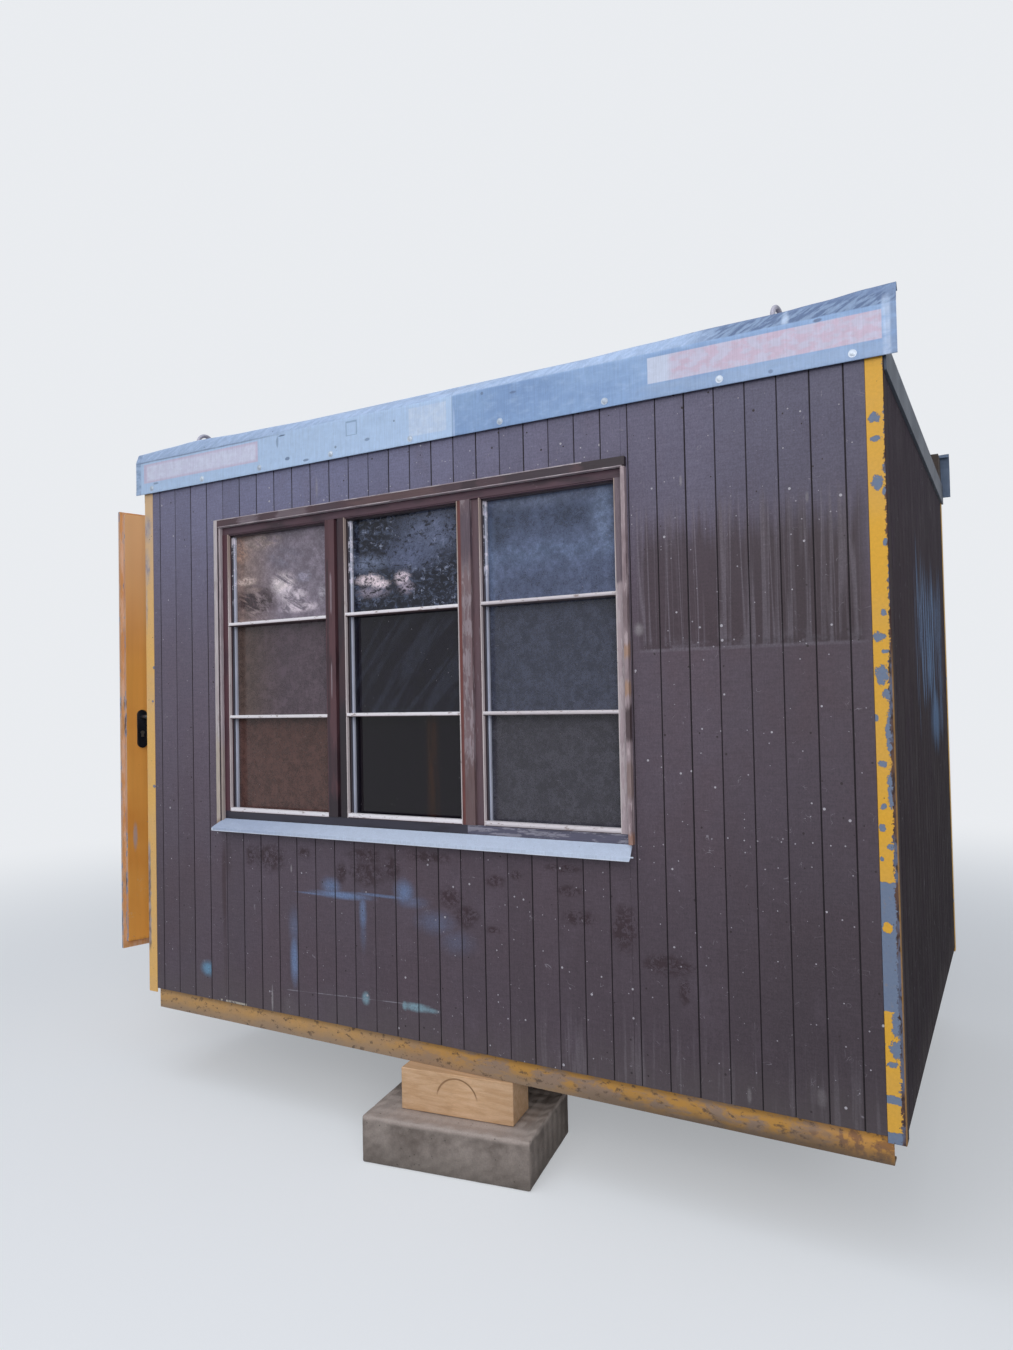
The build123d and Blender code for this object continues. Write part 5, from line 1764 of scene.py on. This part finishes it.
@dataclass
class Frame:
    """The steel base, the corner posts and the floor."""

    edge: float = 0.0016

    def build(self) -> None:
        """Make the pieces."""
        members = (
            ("post_front_left", POST_LEFT), ("post_front_right", POST_RIGHT), ("post_back_left", POST_BACK),
            ("post_back_right", POST_BACK), ("base_beam_front", BEAM_PAINT), ("base_beam_back", BEAM_PAINT),
            ("base_cross_beams", BEAM_PAINT),
        )
        for node, finish in members:
            steelwork(node, finish, self.edge)
        coat("floor_joists", JOISTS)
        coat("floor_deck", FLOOR)


@dataclass
class Supports:
    """The cast blocks and the timber blocks between them and the base."""

    cast_cut: float = 0.016
    cast_rough: float = 0.004
    timber_edge: float = 0.004
    cast_edge: float = 0.008
    rounds: int = 5
    ground: float = 0.0015
    swell_scale: float = 14.0
    pit_scale: float = 45.0

    def build(self) -> None:
        """Make the blocks."""
        made = refined("concrete_blocks", "cast_blocks", CONCRETE, self.cast_edge, 2)
        self.weather(made, self.cast_cut, self.cast_rough)
        dress(made, Slot.CONCRETE, "cabin", "concrete_blocks")
        made = refined("timber_blocks", "sawn_timber_blocks", SAWN, self.timber_edge, 3)
        dress(made, Slot.SAWN, "cabin", "timber_blocks")

    def weather(self, made: bpy.types.Object, cut: float, depth: float) -> None:
        """Divide a block's faces and wear them inwards by noise, with pits, except where it meets the ground.

        Args:
            made: the block.
            cut: the size of the divided faces.
            depth: how deep the wear goes.
        """
        bm = bmesh.new()
        bm.from_mesh(made.data)
        for _ in range(self.rounds):
            long_edges = [edge for edge in bm.edges if edge.calc_length() > cut * 2]
            if not long_edges:
                break
            bmesh.ops.subdivide_edges(bm, edges=long_edges, cuts=1, use_grid_fill=True)
        bm.normal_update()
        moves = []
        for vertex in bm.verts:
            rough = noise.fractal(vertex.co * self.swell_scale, 1.0, 2.0, 4) * 0.5 + 0.5
            pit = max(0.0, noise.noise(vertex.co * self.pit_scale)) ** 2
            moves.append(-vertex.normal * (rough * 0.35 + pit) * depth)
        for vertex, move in zip(list(bm.verts), moves):
            if vertex.co.z > self.ground:
                vertex.co += move
        bm.to_mesh(made.data)
        bm.free()
        made.data.shade_smooth()


@dataclass
class Fascia:
    """The folded zinc sheet along a roof edge, dented, with a slack top line, on its beam."""

    side: str
    finish: object
    stations: int = 156
    dent: float = 0.0016
    slope: float = 0.0435
    lean: float = 0.018
    inset: float = 0.0
    end_gap: float = 0.0003
    sheet: float = 0.0012
    dented: Pair = (0.012, 0.175)
    shoulder_line: tuple[Pair, ...] = ((0.24, 0.26), (0.52, 0.54), (0.8, 0.8))
    beam_cut: Pair = (0.027, 0.07)
    beam_edge: float = 0.002
    face_line: tuple[Pair, ...] = (
        (0.0022, 0.0), (0.0004, 0.0012), (0.0, 0.008), (0.0002, 0.02), (0.0004, 0.036), (0.0004, 0.054),
        (0.0004, 0.072), (0.0004, 0.09), (0.0003, 0.108), (0.0002, 0.124),
    )
    top_line: tuple[Pair, ...] = (
        (-0.04, -0.002), (0.16, 0.003), (0.32, 0.008), (0.62, -0.002), (1.00, -0.009), (1.27, -0.014),
        (1.56, -0.021), (1.8, -0.015), (2.1, -0.01), (2.4, -0.003), (2.6, 0.002), (2.8, 0.002),
        (2.92, 0.007), (3.06, 0.016), (3.13, 0.018),
    )
    dents: tuple[tuple[float, float, float, float], ...] = (
        (0.81, 2.345, 0.02, 0.004), (0.78, 2.305, 0.012, 0.003), (0.84, 2.245, 0.022, 0.003),
        (2.9, 2.352, 0.018, 0.0045), (2.66, 2.36, 0.022, 0.004), (2.4, 2.29, 0.014, 0.003),
        (1.32, 2.3, 0.05, 0.003), (2.02, 2.3, 0.07, 0.003), (2.18, 2.345, 0.03, 0.0025),
    )

    @property
    def node(self) -> str:
        """Return the node that the sheet stands for."""
        return "fascia_" + self.side

    def rise(self, u: float) -> float:
        """Return how far the top line stands above its mean height at u."""
        points = self.top_line
        for (u0, z0), (u1, z1) in zip(points, points[1:]):
            if u <= u1:
                share = min(max((u - u0) / (u1 - u0), 0.0), 1.0)
                share = share * share * (3 - 2 * share)
                return z0 + (z1 - z0) * share
        return points[-1][1]

    def hollow(self, u: float, v: float) -> float:
        """Return how deep the dents and the sheet's waves are at one place."""
        wave = noise.noise(Vector((u * 2.6, v * 7.0, 2.0))) * 0.5 + 0.5
        depth = wave * self.dent
        for du, dv, radius, deep in self.dents:
            reach = math.hypot(u - du, (v - dv) * 1.2) / radius
            if reach < 1:
                depth += deep * (1 - reach * reach) ** 2
        return depth

    def profile(self, u: float, height: float, depth: float) -> list[Pair]:
        """Return the sheet's outer line at u as distances behind its face and above its drip."""
        top = height + self.rise(u)
        crease = height - self.slope
        shoulder = top - crease
        sway = 0.0008 * noise.noise(Vector((u * 5, 0.0, 0.0)))
        return [
            *self.face_line,
            (0.0001, crease - 0.011), (0.0, crease - 0.004), (0.0009, crease + 0.0015 + sway),
            *((self.lean * back, crease + shoulder * up) for back, up in self.shoulder_line),
            (self.lean * 0.97, top - 0.0035),
            (self.lean + 0.0035, top - 0.0012), (self.lean + 0.008, top - 0.001),
            (depth - 0.001, height - 0.0015),
        ]

    def build(self) -> bpy.types.Object:
        """Return the sheet, as a closed shell of its thickness."""
        low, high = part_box(self.node)
        front = self.side == "front"
        bm = bmesh.new()
        columns = []
        for index in range(self.stations + 1):
            x = low.x + self.end_gap + (high.x - low.x - 2 * self.end_gap) * index / self.stations
            u = x - planes.left
            column = []
            for back, up in self.profile(u, high.z - low.z, high.y - low.y):
                v = low.z + up - planes.datum_z
                inner = self.dented[0] < up < self.dented[1]
                y = low.y + back + (self.hollow(u, v) if inner else 0.0)
                y += self.inset if back < 0.02 else 0.0
                if not front:
                    y = high.y - (y - low.y)
                column.append(bm.verts.new((x, y, low.z + up)))
            columns.append(column)
        for first, second in zip(columns, columns[1:]):
            for i in range(len(first) - 1):
                corners = (first[i], second[i], second[i + 1], first[i + 1])
                bm.faces.new(corners if front else tuple(reversed(corners)))
        mesh = bpy.data.meshes.new(self.node + "_sheet")
        bm.to_mesh(mesh)
        bm.free()
        mesh.materials.append(finishes.get(self.finish))
        made = link(bpy.data.objects.new(self.node + "_sheet", mesh))
        shell = made.modifiers.new("sheet", "SOLIDIFY")
        shell.thickness = self.sheet
        shell.offset = -1.0
        flatten(made)
        made.data.shade_smooth()
        made.data.set_sharp_from_angle(angle=FOLD_ANGLE)
        return dress(made, Slot.ZINC, "cabin", self.node)

    def beam(self) -> bpy.types.Object:
        """Return the timber beam behind the sheet, planed back under its shoulder."""
        low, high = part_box("roof_beam_" + self.side)
        upper, lower = (high.z - low.z - cut for cut in self.beam_cut)
        shape = ((0.009, 0.0), (1.0, 0.0), (1.0, 1.0), (0.048, 1.0), (0.026, upper), (0.009, lower))
        points = []
        for back, up in shape:
            y = high.y if back == 1.0 else low.y + back
            z = high.z if up == 1.0 else low.z + up
            points.append(Vector((low.x, y if self.side == "front" else low.y + high.y - y, z)))
        m = Mesher("roof_beam_" + self.side + "_timber")
        m.prism(points, Vector((high.x - low.x, 0, 0)), ROOF_TIMBER)
        return dress(m.build(self.beam_edge), Slot.ROOF_TIMBER, "cabin", "roof_beam_" + self.side)


@dataclass
class Roof:
    """The roof edge, its fasteners, the felted deck and the lifting eyes."""

    fasteners: Scatter
    screws: tuple[float, ...] = (0.064, 0.38, 0.713, 1.089, 1.467, 1.849, 2.244, 2.625, 3.011)
    screw_v: float = 2.2265
    front_seat: float = 0.0004
    back_seat: float = 0.0036
    back_inset: float = 0.0026
    trim_edge: float = 0.0012

    def build(self) -> None:
        """Make the pieces."""
        for side, finish, inset in (("front", FASCIA, 0.0), ("back", BACK_ZINC, self.back_inset)):
            fascia = Fascia(side, finish, inset=inset)
            fascia.build()
            fascia.beam()
        self.screw_row("fascia_front_screws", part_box("fascia_front")[0].y + self.front_seat, -1.0)
        self.screw_row("fascia_back_screws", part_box("fascia_back")[1].y - self.back_seat, 1.0)
        dress(
            refined("side_trims", "side_trim_sheets", TRIM, self.trim_edge), Slot.TRIM, "cabin", "side_trims"
        )
        dress(refined("lifting_eyes", "lifting_eye_bars", STEEL, 0.0, 1), Slot.STEEL, "cabin", "lifting_eyes")
        coat("roof_deck", FELT)
        coat("ceiling", CEILING)

    def screw_row(self, name: str, face: float, side: float) -> None:
        """Set a row of screws in one fascia; side is -1 in front and 1 behind."""
        points = [Vector((planes.left + u, face, planes.datum_z + self.screw_v)) for u in self.screws]
        made = self.fasteners.run(name, points, {
            "Head": 0.008, "Rise": 0.0022, "Washer": 0.0118, "Thickness": 0.0011, "Facing": (0.0, side, 0.0),
            "Spin": math.pi, "Seed": 4, "Metal": finishes.get(SCREW_METAL),
        })
        made.data.shade_smooth()
        made.data.set_sharp_from_angle(angle=SMOOTH_ANGLE)
        dress(made, Slot.STEEL)


@dataclass
class Window:
    """The three-light window: frame, mullions, beads, bars, glass, casing and sill."""

    bars: Scatter
    lights: tuple[Pair, ...] = ((0.506, 1.041), (1.131, 1.654), (1.744, 2.264))
    light_v: Pair = (0.815, 1.976)
    bar_v: Pair = (1.21, 1.598)
    bar_height: float = 0.0142
    bar_sag: Triple = (0.0035, 0.0, 0.0)
    bead_front: float = 0.004
    bead_bottom: float = 0.017
    bead_gap: float = 0.009
    bead_right: float = 0.0035
    bead_top: float = 0.004
    putty: float = 0.0075
    putty_depth: float = 0.01
    glass_gap: float = 0.0004
    outer_steps: Pair = (0.006, 0.022)
    first_steps: Pair = (0.044, 0.059)
    second_steps: Pair = (0.014, 0.054)
    strip_edge: float = 0.005
    rail_change: float = 0.02
    timber_edge: float = 0.0012
    fine_edge: float = 0.0008
    bar_edge: float = 0.0015
    sill_cuts: int = 24
    sill_slant: float = 0.026
    sill_overrun: float = 0.013
    head_drop: float = 0.005
    casing_foot: float = 0.742
    sill_profile: tuple[Pair, ...] = (
        (0.003, 0.783), (-0.02, 0.7705), (-0.046, 0.753), (-0.0495, 0.7505), (-0.05, 0.748),
        (-0.05, 0.7375), (-0.0485, 0.7375), (-0.048, 0.7465), (-0.045, 0.749), (0.003, 0.775),
    )

    def build(self) -> None:
        """Make the pieces."""
        self.frame()
        self.beads()
        self.glazing_bars()
        self.sashes()
        self.casing()
        self.sill()
        coat("window_panes", GLASS)

    def frame(self) -> None:
        """Make the frame's members, with the stepped mullions."""
        low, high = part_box("window_frame")
        d0, d1 = low.y - planes.front, high.y - planes.front
        u0, u1 = low.x - planes.left, high.x - planes.left
        v0, v1 = low.z - planes.datum_z, high.z - planes.datum_z
        m = Mesher("window_frame_timber")
        first, second, third = self.lights
        bottom, top = self.light_v
        left_step, right_step = self.outer_steps
        face, groove = (first[1] + step for step in self.first_steps)
        red, grey = (second[1] + step for step in self.second_steps)
        strip = third[0] - self.strip_edge
        # The groove and the recessed strip before the third light take darker finishes, as painted shade.
        uprights = (
            (u0, u0 + left_step, 0.0, STILE), (u0 + left_step, first[0], 0.0015, STILE),
            (first[1], face, 0.0, FIRST_MULLION), (face, groove, 0.016, DEEP),
            (groove, second[0], 0.002, SECOND_STRIP), (second[1], red, 0.003, RED_STILE),
            (red, grey, 0.0, GREY_STILE), (grey, strip, 0.013, SHADED_STRIP),
            (strip, third[0], 0.004, SHADED_STRIP), (third[1], third[1] + right_step, 0.001, PINK_STILE),
            (third[1] + right_step, u1, 0.0, WHITE_STILE),
        )
        for a, b, back, finish in uprights:
            m.slab((a, b), (d0 + back, d1), (bottom, top), finish)
        m.slab((u0, u1), (d0 + 0.002, d1), (top, v1), RAIL)
        turn = second[1] + self.rail_change
        m.slab((u0, turn), (d0 + 0.003, d1), (v0, bottom), LOW_RAIL)
        m.slab((turn, u1), (d0 + 0.002, d1), (v0, bottom), PALE_RAIL)
        dress(m.build(self.timber_edge), Slot.WINDOW, "cabin", "window_frame")

    def beads(self) -> None:
        """Make the beads round each light: pale ones at the left and below, brown or pale ones elsewhere."""
        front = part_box("window_frame")[0].y - planes.front + 0.0012
        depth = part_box("sash_left")[0].y - planes.front
        bottom, top = self.light_v
        m = Mesher("window_beads")
        right_finish = (STILE, BEADS, BEADS)
        lows = (LEFT_BARS, BARS, RIGHT_BARS)
        for (a, b), right, low, sag in zip(self.lights, right_finish, lows, self.bar_sag):
            inner = (a + self.bead_front, b - self.bead_right)
            m.slab((a, inner[0]), (front, depth - self.bead_gap), (bottom, top), BEADS)
            m.slab((inner[1], b), (front, depth), (bottom, top), right)
            m.slab(inner, (front, depth), (bottom - sag, bottom + self.bead_bottom - sag), low)
            m.slab(inner, (front + self.bead_top, depth), (top - self.bead_top, top), RAIL)
        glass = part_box("window_panes")[0].y - planes.front
        for name in ("left", "middle", "right"):
            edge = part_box("sash_" + name)[0].x - planes.left + self.bead_top
            m.slab((edge, edge + self.putty), (glass - self.putty_depth, glass - self.glass_gap),
                   (bottom + self.bead_top, top - self.bead_top), PUTTY)
        dress(m.build(self.fine_edge), Slot.WINDOW)

    def glazing_bars(self) -> None:
        """Make two level bars in each light, from the front to the glass."""
        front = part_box("window_frame")[0].y - planes.front + 0.0015
        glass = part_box("window_panes")[0].y - planes.front
        paints = (LEFT_BARS, BARS, RIGHT_BARS)
        for name, (a, b), paint, sag in zip(("left", "middle", "right"), self.lights, paints, self.bar_sag):
            label = "glazing_bars_" + name
            made = self.bars.run(label, [Vector()], {
                "Length": b - a - 0.001, "Height": self.bar_height, "Depth": glass - front - self.glass_gap,
                "Count": 2, "Step": self.bar_v[1] - self.bar_v[0],
                "Place": tuple(planes.at((a + b) / 2, (front + glass) / 2, self.bar_v[0] - sag)),
                "Paint": finishes.get(paint),
            })
            dress(rounded(made, self.bar_edge, 2), Slot.WINDOW)

    def sashes(self) -> None:
        """Round the sashes and paint them."""
        for name in ("left", "middle", "right"):
            node = "sash_" + name
            made = refined(node, node + "_timber", SASH, self.fine_edge)
            made.data.materials.append(finishes.get(SASH_FRONT))
            for face in made.data.polygons:
                if face.normal.y < -0.5 or face.normal.z < -0.5:
                    face.material_index = 1
            dress(made, Slot.WINDOW, "cabin", node)

    def casing(self) -> None:
        """Make the casing's two uprights and head, with a groove along the left one."""
        low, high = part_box("window_casing")
        frame_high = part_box("window_frame")[1]
        m = Mesher("window_casing_timber")
        face = planes.wall_face
        foot = planes.datum_z + self.casing_foot
        top = high.z - self.head_drop
        # The middle strip is the groove, in a darker finish as painted shade.
        for width, back, depth, finish in (
            (0.02, 0.0, 0.003, BARE_CASING), (0.0205, 0.003, 0.009, DEEP),
            (0.03, 0.009, 0.023, INNER_CASING),
        ):
            m.block((low.x, low.y + back, foot), (low.x + width, min(low.y + depth, face), top), finish)
        head = frame_high.z
        pieces = (
            ((frame_high.x + 0.0035, low.y, low.z + 0.012), (high.x, face, head), PEELED_CASING),
            ((low.x + 0.018, low.y + 0.001, head + 0.003), (high.x, face, top), HEAD_CASING),
            ((low.x + 0.024, low.y, head), (high.x - 0.008, face, head + 0.0036), HEAD_EDGE),
            ((low.x + 0.018, low.y - 0.0005, top - 0.0035), (high.x - 0.15, face, top + 0.0005), HEAD_EDGE),
        )
        for near, far, finish in pieces:
            m.block(near, far, finish)
        dress(m.build(self.timber_edge), Slot.WINDOW, "cabin", "window_casing")

    def sill(self) -> None:
        """Fold the sill sheet, cut on the slant at its left end, with a pale drip edge and bent tabs."""
        low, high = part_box("window_sill")
        left, right = low.x - planes.left, high.x - planes.left
        m = Mesher("window_sill_sheet")
        reach = self.sill_profile[0][0] - self.sill_profile[5][0]
        ends: list[list[bmesh.types.BMVert]] = []
        for index in range(self.sill_cuts + 1):
            share = index / self.sill_cuts
            ring = []
            for d, v in self.sill_profile:
                back = (d - self.sill_profile[5][0]) / reach
                start = left + self.sill_slant * back
                end = right - (0.004 if v < 0.745 else 0.0) + self.sill_overrun * (1.0 - back)
                ring.append(m.bm.verts.new(planes.at(start + (end - start) * share, d, v)))
            ends.append(ring)
        for first, second in zip(ends, ends[1:]):
            for i in range(len(first)):
                j = (i + 1) % len(first)
                m.bm.faces.new((first[i], second[i], second[j], first[j]))
        m.bm.faces.new(ends[0])
        m.bm.faces.new(tuple(reversed(ends[-1])))
        bmesh.ops.recalc_face_normals(m.bm, faces=m.bm.faces)
        m.paint([vertex for ring in ends for vertex in ring], SILL)
        tabs = (
            ((left + 0.001, right + 0.008), (-0.0508, -0.0482), (0.737, 0.74)),
            ((left - 0.001, left + 0.007), (-0.0508, -0.044), (0.7375, 0.748)),
            ((right + 0.008, right + 0.022), (-0.048, -0.044), (0.749, 0.753)),
        )
        for tab in tabs:
            m.slab(*tab, SILL_EDGE)
        dress(m.build(0.0004, 1), Slot.ZINC, "cabin", "window_sill")


@dataclass
class Door:
    """The door frame, the leaf with its edges, and the lock and hinges."""

    edge: float = 0.0018
    open_angle: float = 15.0

    def build(self) -> None:
        """Make the pieces."""
        for node in ("door_jamb_front", "door_jamb_rear", "door_head", "door_threshold"):
            steelwork(node, DOOR_FRAME, self.edge)
        leaf = refined("door_leaf", "door_leaf_steel", DOOR, 0.003, 3)
        leaf.data.materials.append(finishes.get(DOOR_EDGE))
        leaf_open = math.radians(self.open_angle)
        side = Vector((-math.sin(leaf_open), -math.cos(leaf_open), 0.0))
        for face in leaf.data.polygons:
            if face.normal.dot(side) > 0.5:
                face.material_index = 1
        dress(leaf, Slot.DOOR, "door", "door_leaf")
        plates = refined("handle_plates", "lock_plates", PLASTIC, 0.002, 3)
        dress(plates, Slot.PLASTIC, "door", "handle_plates")
        levers = refined("lever_handles", "lever_grips", PLASTIC, 0.0, 1)
        dress(levers, Slot.PLASTIC, "lever", "lever_handles")
        for node, finish in (("key_cylinder", LOCK), ("hinge_pins", STEEL), ("hinge_knuckles", STEEL)):
            coat(node, finish)


@dataclass
class Studio:
    """The plain floor, the soft light and the camera at the photo's angle."""

    camera_u: float = 3.3993
    camera_d: float = -2.7498
    camera_v: float = 1.2619
    tilt: float = 91.4707
    roll: float = 1.1544
    turn: float = 29.4572
    lens: float = 24.255
    film: float = 36.0
    backdrop: Colour = (0.82, 0.84, 0.87)
    sky: Colour = (0.8, 0.88, 1.0)
    sky_power: float = 0.34

    def build(self) -> None:
        """Set the camera, lamps, world and floor."""
        camera = bpy.data.cameras.new("photo_camera")
        camera.sensor_width = self.film
        camera.sensor_fit = "AUTO"
        camera.lens = self.lens
        camera.dof.use_dof = False
        made = link(bpy.data.objects.new("photo_camera", camera))
        made.location = planes.at(self.camera_u, self.camera_d, self.camera_v)
        made.rotation_euler = Euler([math.radians(a) for a in (self.tilt, self.roll, self.turn)], "XYZ")
        bpy.context.scene.camera = made
        bpy.context.scene.view_settings.view_transform = "Standard"
        lamps = (
            ("key", (0.4, -7.4, 5.6), (0.0, -1.0, 1.2), 5.0, 120, (1.0, 0.985, 0.97)),
            ("fill", (5.5, -8.0, 3.6), (-0.5, -0.8, 1.2), 5.0, 330, (0.97, 0.98, 1.0)),
            ("sky", (-1.0, -3.0, 7.5), (0.0, -0.5, 1.5), 6.0, 150, (0.88, 0.93, 1.0)),
        )
        for lamp in lamps:
            self.lamp(*lamp)
        self.world()
        self.floor()

    def lamp(self, name: str, place: Triple, aim: Triple, size: float, power: float, colour: Colour) -> None:
        """Set one soft lamp that looks at a point."""
        light = bpy.data.lights.new(name, "AREA")
        light.shape = "DISK"
        light.size = size
        light.energy = power
        light.color = colour
        made = link(bpy.data.objects.new(name, light))
        made.location = place
        made.rotation_euler = (Vector(aim) - Vector(place)).to_track_quat("-Z", "Y").to_euler()

    def world(self) -> None:
        """Set an even sky that shows as the pale backdrop."""
        world = bpy.data.worlds.new("studio")
        bpy.context.scene.world = world
        world.use_nodes = True
        g = Graph()
        g.tree = world.node_tree
        g.tree.nodes.clear()
        light = g.out("ShaderNodeBackground", (*self.sky, 1.0), self.sky_power)
        shown = g.out("ShaderNodeBackground", (*self.backdrop, 1.0), 1.0)
        path = g.node("ShaderNodeLightPath").outputs
        direct = g.math("MAXIMUM", path["Is Camera Ray"], path["Is Transmission Ray"])
        seen = g.math("MAXIMUM", direct, path["Is Glossy Ray"])
        g.node("ShaderNodeOutputWorld", g.out("ShaderNodeMixShader", seen, light, shown))

    def floor(self) -> None:
        """Lay the pale floor under the supports."""
        bm = bmesh.new()
        bmesh.ops.create_grid(bm, x_segments=1, y_segments=1, size=40)
        mesh = bpy.data.meshes.new("studio_floor")
        bm.to_mesh(mesh)
        bm.free()
        made = link(bpy.data.objects.new("studio_floor", mesh))
        s = Shader("floor_pale")
        flat = s.vector("MULTIPLY", s.coordinates.outputs["Object"], (1.0, 1.0, 0.0))
        away = s.ease(s.vector("LENGTH", flat), 3.0, 9.0)
        path = s.node("ShaderNodeLightPath").outputs
        seen = s.either(*(path[kind] for kind in ("Is Camera Ray", "Is Glossy Ray", "Is Transmission Ray")))
        lift = s.both(seen, s.scaled(away, 0.66, 0.34))
        s.feed(s.surface.inputs["Emission Color"], s.mix(away, (0.93, 0.96, 1.0), self.backdrop))
        s.feed(s.surface.inputs["Emission Strength"], lift)
        s.colour = s.mix(away, (0.58, 0.585, 0.59), (0.0, 0.0, 0.0))
        mesh.materials.append(s.finish(0.9, None, 0.0))


def main() -> None:
    """Build every sub-assembly in order."""
    logging.basicConfig(level=logging.INFO, format="%(name)s %(message)s")
    fasteners = Scatter(fastener_tree())
    Studio().build()
    Supports().build()
    Frame().build()
    Walls(Scatter(board_tree()), fasteners).build()
    Roof(fasteners).build()
    Window(Scatter(bar_tree())).build()
    Door().build()


if __name__ == "__main__":
    main()
